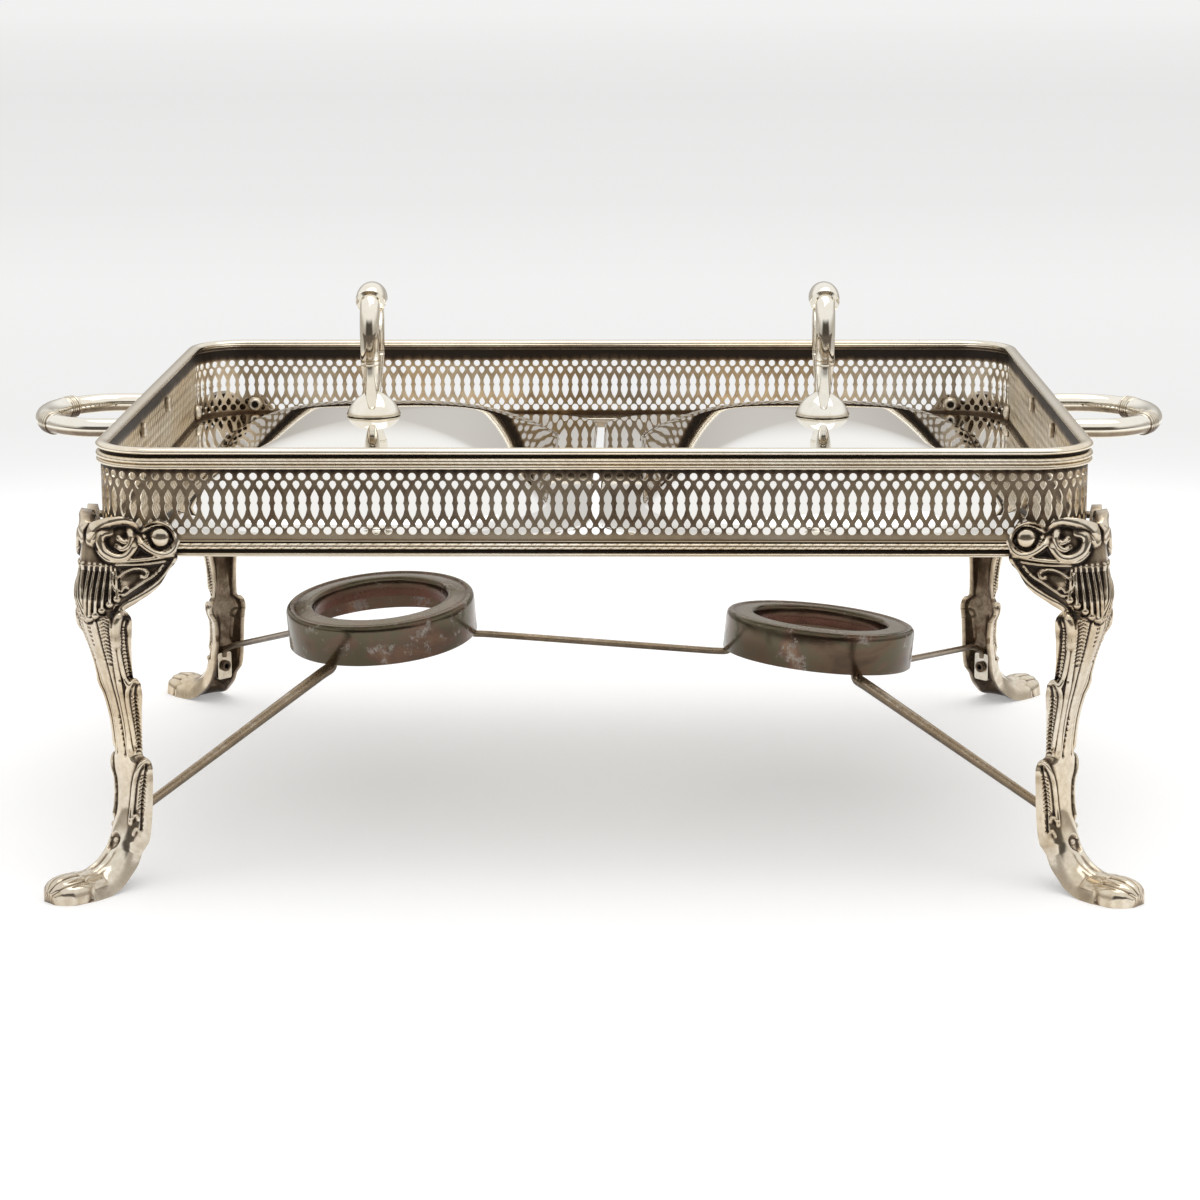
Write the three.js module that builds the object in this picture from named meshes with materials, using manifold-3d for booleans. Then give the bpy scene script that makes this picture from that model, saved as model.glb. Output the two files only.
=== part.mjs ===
// Silver-plated chafing stand for two dishes: a pierced gallery frame on four cabriole legs,
// two burner rings on bent stretchers, two side handles and two lift-off mirror lids.
// Millimetres, +Z up, +X to the right, front towards -Y. The origin is on the floor, below
// the middle of the frame.

import * as THREE from 'three';
import { mergeVertices } from 'three/addons/utils/BufferGeometryUtils.js';
import Module from 'manifold-3d';

const wasm = await Module();
wasm.setup();

// Frame
const frameLength = 400;
const frameDepth = 312;
const frameTop = 183;
const cornerRadius = 26;
const cornerSteps = 6;
const galleryInset = 2;
const gallerySheet = 1;
const galleryBottom = 144.6;
const galleryTop = 177;
const rimBottom = 172.7;
const baseBottom = 138.2;
const ledgeReach = 14;
const slotPitchX = 9.7;
const slotPitchY = 9.3;
const slotHalfWidth = 3.1;
const slotBottom = 147;
const slotTop = 171.4;
const touch = 0.1;
const gap = 0.3;

// Legs: ridge and edge lines in the diagonal plane of a corner
const legWall = 2.3;
const ankleHeight = 19;
const wingRivetHeight = 149.9;

// Lids
const lidGap = 3.4;
const lidWidth = 192.6;
const lidDepth = 298;
const lidCorner = 32;
const lidSheet = 1.2;
const lidTop = 169.8;
const domeHalfX = 77;
const domeHalfY = 129;
const domeCorner = 48;
const lidHandleShift = 1.3;

// Side handles
const handleHeight = 169.6;
const handleRoot = 168.7;
const handleReach = 45.7;
const handleHalfSpan = 35;

// Burner rings
const ringRadius = 42.3;
const ringHole = 30;
const ringSkirt = 18;
const ringSheet = 1.2;

const colors = {
  silver: 0xc9bfae, pale: 0xd8d3c8, mirror: 0xd9d9d6, tarnish: 0x4c4038, rod: 0x6d5a48, rivet: 0xb3a691,
};

const stand = new THREE.Group();

function material(color, roughness) {
  return new THREE.MeshStandardMaterial({ color, roughness, metalness: 1 });
}

function place(name, geometry, color, roughness = 0.25, parent = stand) {
  const mesh = new THREE.Mesh(geometry, material(color, roughness));
  mesh.name = name;
  parent.add(mesh);
  return mesh;
}

// A closed mesh from a list of points and triangles, turned right side out
function closedGeometry(points, faces) {
  let volume = 0;
  for (const [a, b, c] of faces) {
    volume += points[a].dot(new THREE.Vector3().crossVectors(points[b], points[c]));
  }
  const index = faces.flatMap(([a, b, c]) => (volume < 0 ? [a, c, b] : [a, b, c]));
  const geometry = new THREE.BufferGeometry();
  geometry.setAttribute('position', new THREE.Float32BufferAttribute(points.flatMap((p) => p.toArray()), 3));
  geometry.setIndex(index);
  return geometry;
}

function toSolid(geometry) {
  const clean = geometry.clone();
  for (const name of ['normal', 'uv']) clean.deleteAttribute(name);
  const merged = mergeVertices(clean, 1e-4);
  const vertProperties = new Float32Array(merged.attributes.position.array);
  const triVerts = new Uint32Array(merged.index.array);
  return new wasm.Manifold(new wasm.Mesh({ numProp: 3, vertProperties, triVerts }));
}

function fromSolid(solid) {
  const mesh = solid.getMesh();
  const geometry = new THREE.BufferGeometry();
  geometry.setAttribute('position', new THREE.Float32BufferAttribute(mesh.vertProperties, 3));
  geometry.setIndex(Array.from(mesh.triVerts));
  return geometry;
}

function cut(geometry, cutters) {
  return fromSolid(cutters.reduce((solid, cutter) => solid.subtract(toSolid(cutter)), toSolid(geometry)));
}

function join(first, second) {
  return fromSolid(toSolid(first).add(toSolid(second)));
}

// Rings of points skinned one after another; a closed run is a torus, an open one gets end caps
function skin(rings, closed) {
  const count = rings[0].length;
  const points = rings.flat();
  const faces = [];
  const last = closed ? rings.length : rings.length - 1;
  for (let i = 0; i < last; i += 1) {
    const next = (i + 1) % rings.length;
    for (let j = 0; j < count; j += 1) {
      const k = (j + 1) % count;
      faces.push([i * count + j, i * count + k, next * count + k]);
      faces.push([i * count + j, next * count + k, next * count + j]);
    }
  }
  return { points, faces, count };
}

function capWithCenter(shape, ringIndex, center, flip) {
  const { points, faces, count } = shape;
  const middle = points.push(center) - 1;
  for (let j = 0; j < count; j += 1) {
    const a = ringIndex * count + j;
    const b = ringIndex * count + ((j + 1) % count);
    faces.push(flip ? [middle, b, a] : [middle, a, b]);
  }
}

// Rounded rectangle, counterclockwise, with extra points along the straight sides
function roundedOutline(halfX, halfY, radius, steps = cornerSteps, sideX = 1, sideY = 1) {
  const outline = [];
  const corners = [[1, 1, 0], [-1, 1, 1], [-1, -1, 2], [1, -1, 3]];
  corners.forEach(([sx, sy, quarter], index) => {
    for (let i = 0; i <= steps; i += 1) {
      const angle = (quarter + i / steps) * Math.PI / 2;
      outline.push(new THREE.Vector2(
        sx * (halfX - radius) + radius * Math.cos(angle),
        sy * (halfY - radius) + radius * Math.sin(angle),
      ));
    }
    const pieces = index % 2 === 0 ? sideX : sideY;
    const [nx, ny, nq] = corners[(index + 1) % 4];
    const from = outline[outline.length - 1];
    const to = new THREE.Vector2(
      nx * (halfX - radius) + radius * Math.cos(nq * Math.PI / 2),
      ny * (halfY - radius) + radius * Math.sin(nq * Math.PI / 2),
    );
    for (let i = 1; i < pieces; i += 1) outline.push(from.clone().lerp(to, i / pieces));
  });
  return outline;
}

// A moulding run round the frame; each profile point is an inset from the outer face and a height
function frameMoulding(profile) {
  const rings = profile.map(([inset, height]) => roundedOutline(
    frameLength / 2 - inset, frameDepth / 2 - inset, cornerRadius - inset,
  ).map((p) => new THREE.Vector3(p.x, p.y, height)));
  const { points, faces } = skin(rings, true);
  return closedGeometry(points, faces);
}

// A round bar along a list of points, with its own radius at each point
function bar(path, radiusAt, sides = 8) {
  const tangents = path.map((p, i) => {
    const before = path[Math.max(i - 1, 0)];
    const after = path[Math.min(i + 1, path.length - 1)];
    return after.clone().sub(before).normalize();
  });
  let side = new THREE.Vector3(0.31, 0.17, 0.94).cross(tangents[0]).normalize();
  const rings = path.map((p, i) => {
    side.addScaledVector(tangents[i], -side.dot(tangents[i])).normalize();
    const up = tangents[i].clone().cross(side);
    const radius = radiusAt(i / (path.length - 1), i);
    return Array.from({ length: sides }, (_, j) => {
      const angle = (j / sides) * 2 * Math.PI;
      return p.clone().addScaledVector(side, radius * Math.cos(angle)).addScaledVector(up, radius * Math.sin(angle));
    });
  });
  const shape = skin(rings, false);
  capWithCenter(shape, 0, path[0].clone(), true);
  capWithCenter(shape, path.length - 1, path[path.length - 1].clone(), false);
  return closedGeometry(shape.points, shape.faces);
}

// Corners of a bent path replaced by short arcs
function roundedPath(corners, radius, steps = 3) {
  const path = [corners[0].clone()];
  for (let i = 1; i < corners.length - 1; i += 1) {
    const toBack = corners[i - 1].clone().sub(corners[i]);
    const toNext = corners[i + 1].clone().sub(corners[i]);
    const reach = Math.min(radius, toBack.length() / 2.2, toNext.length() / 2.2);
    const start = corners[i].clone().addScaledVector(toBack.normalize(), reach);
    const end = corners[i].clone().addScaledVector(toNext.normalize(), reach);
    const curve = new THREE.QuadraticBezierCurve3(start, corners[i].clone(), end);
    path.push(...curve.getPoints(steps));
  }
  path.push(corners[corners.length - 1].clone());
  return path;
}

// A turned piece: profile points are a radius and a distance along the axis, and the axis is +Z
function turned(profile, segments) {
  const geometry = new THREE.LatheGeometry(profile.map(([r, z]) => new THREE.Vector2(r, z)), segments);
  geometry.rotateX(Math.PI / 2);
  return geometry;
}

// Top rim: a rolled cap over the gallery and a lower bead outside it
const rimProfile = [
  [0.7, rimBottom], [0, 173.9], [0, 176.2], [1.1, 178.2], [1.1, 178.9], [0.1, 180.1], [0.5, 181.9],
  [1.8, 182.9], [3.4, frameTop], [5, 182.3], [5.8, 180.7], [5.4, 178.9], [4.2, 177.9],
  [galleryInset - touch, 177.6], [galleryInset - touch, rimBottom],
];
place('rim_rail', frameMoulding(rimProfile), colors.silver, 0.22);

// Base moulding with a flat ledge that carries the dishes
const baseProfile = [
  [0.3, baseBottom], [0, 139], [0.3, 140.2], [1, 140.7], [1, 141.1], [0.3, 141.7], [0, 143], [0.4, 144.2],
  [1.3, galleryBottom], [ledgeReach, galleryBottom], [ledgeReach, galleryBottom - 1.5],
  [3.2, galleryBottom - 1.5], [2.4, baseBottom],
];
place('base_rail', frameMoulding(baseProfile), colors.silver, 0.28);

// Gallery band: sheet with upright lozenge slots, and holes for the rivets and handle studs
function lozenge() {
  const shape = new THREE.Shape([
    new THREE.Vector2(slotHalfWidth, 0), new THREE.Vector2(0, (slotTop - slotBottom) / 2),
    new THREE.Vector2(-slotHalfWidth, 0), new THREE.Vector2(0, (slotBottom - slotTop) / 2),
  ]);
  const geometry = new THREE.ExtrudeGeometry(shape, { depth: 6, bevelEnabled: false });
  geometry.translate(0, 0, -3);
  geometry.rotateX(Math.PI / 2);
  return geometry;
}

function borer(radius, length) {
  const geometry = new THREE.CylinderGeometry(radius, radius, length, 10);
  return geometry;
}

const slotMiddle = (slotTop + slotBottom) / 2;
const galleryHalfX = frameLength / 2 - galleryInset;
const galleryHalfY = frameDepth / 2 - galleryInset;
const wingRivetX = 171.1;
const wingRivetY = 127.1;

function galleryCutters() {
  const cutters = [];
  for (const side of [-1, 1]) {
    for (let k = -17; k <= 17; k += 1) {
      cutters.push(lozenge().translate(k * slotPitchX, side * galleryHalfY, slotMiddle));
    }
    for (let k = -13; k <= 13; k += 1) {
      cutters.push(lozenge().rotateZ(Math.PI / 2).translate(side * galleryHalfX, k * slotPitchY, slotMiddle));
    }
    for (const other of [-1, 1]) {
      const centerX = side * (frameLength / 2 - cornerRadius);
      const centerY = other * (frameDepth / 2 - cornerRadius);
      const radius = cornerRadius - galleryInset - gallerySheet / 2;
      for (const degrees of [11.25, 33.75, 56.25, 78.75]) {
        const angle = Math.atan2(other * Math.sin(degrees * Math.PI / 180), side * Math.cos(degrees * Math.PI / 180));
        cutters.push(lozenge().rotateZ(angle + Math.PI / 2)
          .translate(centerX + radius * Math.cos(angle), centerY + radius * Math.sin(angle), slotMiddle));
      }
      cutters.push(borer(1.8, 6).translate(side * wingRivetX, other * galleryHalfY, wingRivetHeight));
      cutters.push(borer(1.8, 6).rotateZ(Math.PI / 2)
        .translate(side * galleryHalfX, other * wingRivetY, wingRivetHeight));
      cutters.push(borer(1.8, 6).rotateZ(Math.PI / 2)
        .translate(side * galleryHalfX, other * handleHalfSpan, handleRoot));
    }
  }
  return cutters;
}

const galleryProfile = [
  [galleryInset, galleryBottom], [galleryInset, galleryTop],
  [galleryInset + gallerySheet, galleryTop], [galleryInset + gallerySheet, galleryBottom],
];
place('gallery_band', cut(frameMoulding(galleryProfile), galleryCutters()), colors.silver, 0.3);

// Each leg station: [ridge radius, ridge height, edge radius, edge height, half width, wing 1 to leg 0, solid 0 to 1]
// Radii run outwards along the diagonal from the square corner of the frame.
const legStations = [
  [-2, 154, -20.4, 154, 24.7, 1, 0],
  [0.5, 150, -23.6, 150, 27.9, 1, 0],
  [2, 141, -23, 141, 27.3, 1, 0],
  [2.5, 137.5, -22.4, 137.5, 26.7, 1, 0],
  [3, 134, -20.9, 134, 25.2, 1, 0],
  [3.6, 130, -18.8, 130, 23.1, 0.9, 0],
  [4, 126, -15.7, 126, 20, 0.6, 0],
  [4, 122, -11.3, 122, 15.6, 0.3, 0],
  [3, 118, -7.8, 118, 11.9, 0.1, 0],
  [1.9, 114.5, -8.4, 114.5, 13.4, 0, 0],
  [1.3, 110, -9.3, 110, 13.9, 0, 0],
  [0, 105, -9.9, 105, 10, 0, 0],
  [-3.3, 95, -12, 95, 9, 0, 0],
  [-6.6, 84, -15, 84, 10.6, 0, 0],
  [-8, 80, -16, 80, 8.6, 0, 0],
  [-10.6, 68, -18, 68, 8.2, 0, 0],
  [-12, 52, -19, 52, 10.2, 0, 0],
  [-12.1, 48, -19.2, 48, 11.2, 0, 0],
  [-12.1, 43, -19.8, 43, 8.6, 0, 0],
  [-11.4, 34, -19.6, 33, 8, 0, 0],
  [-9.6, 26, -18, 25, 8, 0, 0],
  [-6.6, 19.5, -16.2, 17, 8, 0, 0],
  [-2.6, 14, -13.2, 10.5, 8.4, 0, 0],
  [2.2, 10.6, -8.4, 5.6, 9, 0, 0],
  [6.5, 9.4, -2, 1.4, 10, 0, 0.6],
  [10.5, 9.6, 5, 0, 11, 0, 1],
  [15, 10, 12, 0, 11.8, 0, 1],
  [19.5, 9.6, 18, 0, 11.2, 0, 1],
  [23.5, 8, 22.5, 0, 8.4, 0, 1],
  [26.4, 5, 25.4, 0, 4, 0, 1],
];

const wingOutline = { across: [0, 0.3, 0.57, 1], back: [0, 0.16, 0.5, 1], normal: [[0, 1], [0.5, 0.86], [0.7, 0.7], [0.7, 0.7]] };
const shinOutline = { across: [0, 0.46, 0.86, 1], back: [0, 0.1, 0.45, 1], normal: [[0, 1], [0.35, 0.94], [0.85, 0.5], [1, 0]] };

function mixed(a, b, amount) {
  return a + (b - a) * amount;
}

function legSection([ridgeR, ridgeZ, edgeR, edgeZ, halfWidth, wing, solid]) {
  const depth = Math.hypot(edgeR - ridgeR, edgeZ - ridgeZ);
  const at = (across, back) => [across, mixed(ridgeR, edgeR, back), mixed(ridgeZ, edgeZ, back)];
  const outer = [];
  const inner = [];
  for (let i = 0; i < 4; i += 1) {
    const across = mixed(shinOutline.across[i], wingOutline.across[i], wing) * halfWidth;
    const back = mixed(shinOutline.back[i], wingOutline.back[i], wing);
    const nx = mixed(shinOutline.normal[i][0], wingOutline.normal[i][0], wing);
    const ny = mixed(shinOutline.normal[i][1], wingOutline.normal[i][1], wing);
    outer.push(at(across, back));
    const insideAcross = Math.max(across - nx * legWall, 0);
    const insideBack = Math.min(back + ny * legWall / depth, 1);
    inner.push(at(mixed(insideAcross, halfWidth * 0.92 * i / 3, solid), mixed(insideBack, 1, solid)));
  }
  const mirror = ([t, r, z]) => [-t, r, z];
  const loop = [...outer.slice(1).reverse().map(mirror), ...outer, ...inner.slice(1).reverse(), ...inner.map(mirror)];
  return loop;
}

// Right and outward directions for each corner, seen from above
const corners = [
  { name: 'front_left', sx: -1, sy: -1 }, { name: 'front_right', sx: 1, sy: -1 },
  { name: 'rear_left', sx: -1, sy: 1 }, { name: 'rear_right', sx: 1, sy: 1 },
];

function cornerPoint({ sx, sy }, across, radius, height) {
  const outward = new THREE.Vector2(sx, sy).normalize();
  const along = new THREE.Vector2(-sy, sx).normalize();
  return new THREE.Vector3(
    sx * frameLength / 2 + outward.x * radius + along.x * across,
    sy * frameDepth / 2 + outward.y * radius + along.y * across,
    height,
  );
}

function cornerAngle({ sx, sy }) {
  return Math.atan2(sy, sx);
}

function legGeometry(corner) {
  const rings = legStations.map((station) => legSection(station)
    .map(([t, r, z]) => cornerPoint(corner, t, r, z)));
  const { points, faces, count } = skin(rings, false);
  for (const [start, flip] of [[0, true], [(rings.length - 1) * count, false]]) {
    // The section is a strip: pair the outer points with the inner ones behind them
    for (let j = 0; j < 6; j += 1) {
      const a = start + j;
      const b = start + j + 1;
      const c = start + count - 1 - (j + 1);
      const d = start + count - 1 - j;
      faces.push(flip ? [a, c, b] : [a, b, c]);
      faces.push(flip ? [a, d, c] : [a, c, d]);
    }
  }
  return closedGeometry(points, faces);
}

// Bolt-like pieces that lie along the diagonal or straight out of a wall
function pointOutward(geometry, angle) {
  geometry.rotateY(Math.PI / 2);
  geometry.rotateZ(angle);
  return geometry;
}

const tabRadius = -15.1;
const rivetStart = -17.7;
const rivetEnd = -7.4;

for (const corner of corners) {
  const angle = cornerAngle(corner);
  const hole = pointOutward(turned([[0, -9], [1.9, -9], [1.9, 9], [0, 9]], 10), angle);
  const center = cornerPoint(corner, 0, -9, ankleHeight);
  hole.translate(center.x, center.y, center.z);

  // Oval recess in the ridge, with the rivet head in it
  const recess = new THREE.SphereGeometry(1, 8, 5).scale(1.9, 2.9, 5.4).rotateZ(angle);
  const dent = cornerPoint(corner, 0, -6.1, ankleHeight + 0.3);
  recess.translate(dent.x, dent.y, dent.z);
  place(`leg_${corner.name}`, cut(legGeometry(corner), [hole, recess]), colors.silver, 0.26);

  // Ankle rivet: a hollow head behind the stretcher tab and a domed head in front
  const length = rivetEnd - rivetStart;
  const rivet = turned([
    [1, 0.2], [2.6, 0], [2.8, 1.2], [1.5, 1.6], [1.5, length - 1.4], [1.5, length - 0.4], [0, length],
    [0, 2.2], [1, 2.2], [1, 0.2],
  ], 8);
  const mesh = place(`ankle_rivet_${corner.name}`, pointOutward(rivet, angle), colors.rivet, 0.4);
  mesh.position.copy(cornerPoint(corner, 0, rivetStart, ankleHeight));
}

// Wing rivets: hollow heads inside the gallery, with a shank out to the back of the wing
function wingRivet() {
  const shank = galleryInset + gallerySheet + gap;
  return turned([
    [1.4, -2.2], [2.4, -2.6], [3.7, -1.4], [3.7, -touch], [1.5, -touch], [1.5, shank - gap], [0, shank - gap],
    [0, -0.6], [1.4, -0.6], [1.4, -2.2],
  ], 8);
}

for (const corner of corners) {
  const front = place(`wing_rivet_${corner.name}_long_side`, pointOutward(wingRivet(), corner.sy * Math.PI / 2), colors.rivet, 0.35);
  front.position.set(corner.sx * wingRivetX, corner.sy * (galleryHalfY - gallerySheet), wingRivetHeight);
  const end = place(`wing_rivet_${corner.name}_short_side`, pointOutward(wingRivet(), corner.sx > 0 ? 0 : Math.PI), colors.rivet, 0.35);
  end.position.set(corner.sx * (galleryHalfX - gallerySheet), corner.sy * wingRivetY, wingRivetHeight);
}

// Burner rings: inverted caps with a rolled hole and a deep outer skirt, each on its own tilt
const rings = {
  left: { center: new THREE.Vector3(-98.1, 0, 86.6), slopeX: 0.071, slopeY: 0.086 },
  right: { center: new THREE.Vector3(100, 0, 78), slopeX: -0.104, slopeY: -0.065 },
};
const ringProfile = [
  [ringRadius, -ringSkirt], [ringRadius, -1.4], [ringRadius - 1.4, 0], [ringHole + 2.2, 0], [ringHole, -1.8],
  [ringHole, -9], [ringHole + ringSheet, -9], [ringHole + ringSheet, -2.2], [ringHole + 2.4, -ringSheet],
  [ringRadius - 1.8, -ringSheet], [ringRadius - ringSheet, -2], [ringRadius - ringSheet, -ringSkirt],
  [ringRadius, -ringSkirt],
];

function ringTurn({ slopeX, slopeY }) {
  const normal = new THREE.Vector3(-slopeX, -slopeY, 1).normalize();
  return new THREE.Quaternion().setFromUnitVectors(new THREE.Vector3(0, 0, 1), normal);
}

function ringPoint(ring, degrees, radius, drop) {
  const angle = degrees * Math.PI / 180;
  return new THREE.Vector3(radius * Math.cos(angle), radius * Math.sin(angle), -drop)
    .applyQuaternion(ringTurn(ring)).add(ring.center);
}

for (const [side, ring] of Object.entries(rings)) {
  const mesh = place(`burner_ring_${side}`, turned(ringProfile, 30), colors.tarnish, 0.35);
  mesh.quaternion.copy(ringTurn(ring));
  mesh.position.copy(ring.center);
}

// Stretchers: a hook inside the ring skirt, a straight run, and a flat tab in the ankle
function ringHook(ring, degrees, radius) {
  const inside = ringRadius - ringSheet - radius - gap;
  const below = ringSkirt + radius + gap;
  return [
    ringPoint(ring, degrees, inside, ringSkirt - 5),
    ringPoint(ring, degrees, inside - 0.6, below),
    ringPoint(ring, degrees, ringRadius + 3.4, below + 0.6),
  ];
}

const legRods = [
  { corner: corners[0], ring: rings.left, degrees: -122, radius: 1.9 },
  { corner: corners[1], ring: rings.right, degrees: -66, radius: 1.9 },
  { corner: corners[2], ring: rings.left, degrees: 150, radius: 1.5 },
  { corner: corners[3], ring: rings.right, degrees: 30, radius: 1.5 },
];

for (const { corner, ring, degrees, radius } of legRods) {
  const path = roundedPath([
    ...ringHook(ring, degrees, radius),
    cornerPoint(corner, 0, -23, 30.5),
    cornerPoint(corner, 0, tabRadius - 0.4, 27.4),
    cornerPoint(corner, 0, tabRadius, 23.5),
  ], 3);
  const rod = bar(path, () => radius, 8);
  const tab = new THREE.BoxGeometry(1.4, 8.4, 13.4);
  const bore = pointOutward(turned([[0, -4], [1.9, -4], [1.9, 4], [0, 4]], 10), 0);
  const plate = cut(tab, [bore]);
  plate.rotateZ(cornerAngle(corner));
  const center = cornerPoint(corner, 0, tabRadius, ankleHeight);
  plate.translate(center.x, center.y, center.z);
  place(`stretcher_${corner.name}`, join(rod, plate), colors.rod, 0.45);
}

const middlePath = roundedPath([
  ...ringHook(rings.left, 0, 1.5), ...ringHook(rings.right, 180, 1.5).reverse(),
], 3);
place('stretcher_center', bar(middlePath, () => 1.5, 8), colors.rod, 0.45);

// Bound grips: the bar swells over its middle, with raised cords at both ends of the binding,
// and the arms thin out where they meet the gallery
function boundRadius(root, arm, grip) {
  return (fraction) => {
    const away = Math.abs(fraction - 0.5) * 2;
    if (away < 0.27) return grip;
    if (away < 0.37) return grip * 1.03;
    if (away < 0.4) return grip * 0.88;
    return away < 0.86 ? arm : mixed(arm, root, (away - 0.86) / 0.14);
  };
}

const handleStart = galleryHalfX + touch;
for (const [side, sx] of [['left', -1], ['right', 1]]) {
  const bowStart = 216;
  const bowReach = frameLength / 2 + handleReach - 1.8 - bowStart;
  const root = [[handleStart, handleRoot], [199.4, handleRoot], [203.5, handleRoot + 0.6], [208, handleHeight]];
  const path = root.map(([x, z]) => new THREE.Vector3(sx * x, handleHalfSpan, z));
  for (let i = 0; i <= 22; i += 1) {
    const angle = Math.PI / 2 - (i / 22) * Math.PI;
    path.push(new THREE.Vector3(
      sx * (bowStart + bowReach * Math.cos(angle)), handleHalfSpan * Math.sin(angle), handleHeight,
    ));
  }
  path.push(...root.reverse().map(([x, z]) => new THREE.Vector3(sx * x, -handleHalfSpan, z)));
  const lengths = [0];
  for (let i = 1; i < path.length; i += 1) lengths.push(lengths[i - 1] + path[i].distanceTo(path[i - 1]));
  const radiusAt = boundRadius(3.4, 4.2, 5);
  const handle = bar(path, (_, i) => radiusAt(lengths[i] / lengths[lengths.length - 1]), 8);
  place(`side_handle_${side}`, handle, colors.pale, 0.18);

  for (const [end, sy] of [['front', -1], ['rear', 1]]) {
    const nut = turned([
      [0, -2.4], [2.6, -2.4], [3.3, -1.6], [3.3, -touch], [1.5, -touch], [1.5, gallerySheet], [0, gallerySheet],
    ], 8);
    const mesh = place(`side_handle_nut_${side}_${end}`, pointOutward(nut, sx > 0 ? 0 : Math.PI), colors.rivet, 0.35);
    mesh.position.set(sx * (galleryHalfX - gallerySheet), sy * handleHalfSpan, handleRoot);
  }
}

// Lids: a flat flange that lies on the ledge, and a dome that rises from a crease inside it
const flangeTop = galleryBottom + touch + lidSheet;

function flangeRing(inset, height) {
  return roundedOutline(lidWidth / 2 - inset, lidDepth / 2 - inset, lidCorner - inset, 6, 3, 4)
    .map((p) => new THREE.Vector3(p.x, p.y, height));
}

function domeRing(inset, scale, drop) {
  const height = flangeTop + 0.9 + (lidTop - flangeTop - 0.9) * (1 - scale ** 2.5) - drop;
  return roundedOutline(domeHalfX - inset, domeHalfY - inset, domeCorner - inset, 6, 3, 4)
    .map((p) => new THREE.Vector3(p.x * scale, p.y * scale, height));
}

function lidGeometry() {
  const steps = [0.1, 0.3, 0.5, 0.68, 0.82, 0.92, 1];
  const outer = [
    ...steps.map((scale) => domeRing(0, scale, 0)), domeRing(-1.4, 1, 0.9),
    flangeRing(0.4, flangeTop), flangeRing(0, flangeTop - 0.5),
  ];
  const inner = [
    flangeRing(0.2, flangeTop - lidSheet), domeRing(0, 1, lidSheet + 0.9),
    ...steps.slice().reverse().map((scale) => domeRing(1, scale, lidSheet)),
  ];
  const shape = skin([...outer, ...inner], false);
  capWithCenter(shape, 0, new THREE.Vector3(0, 0, lidTop), true);
  capWithCenter(shape, outer.length + inner.length - 1, new THREE.Vector3(0, 0, lidTop - lidSheet), false);
  return closedGeometry(shape.points, shape.faces);
}

// Lid handles: a narrow ring with a thick crown, whose two arms taper onto one bell foot.
// Each station is a distance from the middle, a height above the lid and a bar radius
const ringStations = [
  [8, 2.6, 1.4], [9.4, 5.6, 1.9], [10.3, 8.6, 2.4], [11.3, 12, 2.9], [12.4, 16.5, 3.4], [13.3, 21.5, 3.8],
  [14, 27, 4.2], [14.2, 33, 4.25], [13.9, 39, 4.3], [12.4, 44.6, 4.4], [9.6, 48.9, 4.5], [7.2, 50.7, 4.6],
  [6.8, 50.9, 6.5], [3.4, 51.9, 6.6], [0, 52.2, 6.6],
];
const footProfile = [
  [12, 0], [12, 0.6], [11.4, 1.9], [10.1, 4.2], [8.3, 6.4], [6.3, 8], [4.2, 9.4], [2.4, 10.3],
];

function footSolid(swell) {
  const top = footProfile[footProfile.length - 1][1];
  const wall = footProfile.map(([radius, height]) => [radius + swell, height + (height > 0 ? swell : 0)]);
  return turned([[0, 0], ...wall, [0, top + swell]], 20);
}

function lidHandleGeometry() {
  const stations = [
    ...ringStations.map(([y, z, radius]) => [-y, z, radius]),
    ...ringStations.slice(0, -1).reverse(),
  ];
  const curve = new THREE.CatmullRomCurve3(stations.map(([y, z]) => new THREE.Vector3(0, y, z)));
  const count = stations.length - 1;
  const path = Array.from({ length: 2 * count + 1 }, (_, i) => curve.getPoint(i / (2 * count)));
  const radii = path.map((_, i) => {
    const low = Math.floor(i / 2);
    return mixed(stations[low][2], stations[Math.min(low + 1, count)][2], (i % 2) / 2);
  });
  return cut(bar(path, (_, i) => radii[i], 10), [footSolid(touch)]);
}

const footBase = lidTop + 0.1;
const lidCenterX = lidGap / 2 + lidWidth / 2;
for (const [side, sx] of [['left', -1], ['right', 1]]) {
  const lidGroup = new THREE.Group();
  lidGroup.position.x = sx * lidCenterX;
  stand.add(lidGroup);
  const shift = sx * lidHandleShift;
  const hole = turned([[0, -6], [1.8, -6], [1.8, 6], [0, 6]], 10).translate(shift, 0, lidTop);
  place(`lid_${side}`, cut(lidGeometry(), [hole]), colors.mirror, 0.05, lidGroup);
  place(`lid_handle_${side}`, lidHandleGeometry(), colors.pale, 0.12, lidGroup).position.set(shift, 0, footBase);
  place(`lid_foot_${side}`, footSolid(0), colors.pale, 0.12, lidGroup).position.set(shift, 0, footBase);
  const nut = turned([[0, -4.4], [3.2, -4.4], [3.2, -1.5], [1.5, -1.5], [1.5, -touch], [0, -touch]], 8);
  place(`lid_nut_${side}`, nut, colors.rivet, 0.35, lidGroup).position.set(shift, 0, footBase);
}

export default stand;
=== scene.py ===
# Silver-plated chafing stand: pierced gallery frame, four carved legs, two burner rings,
# two side handles and two lift-off mirror lids. Sizes are in millimetres until a mesh is made.

import math

import bmesh
import bpy
import numpy as np
from mathutils import Matrix, Vector
from mathutils.geometry import delaunay_2d_cdt


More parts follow.
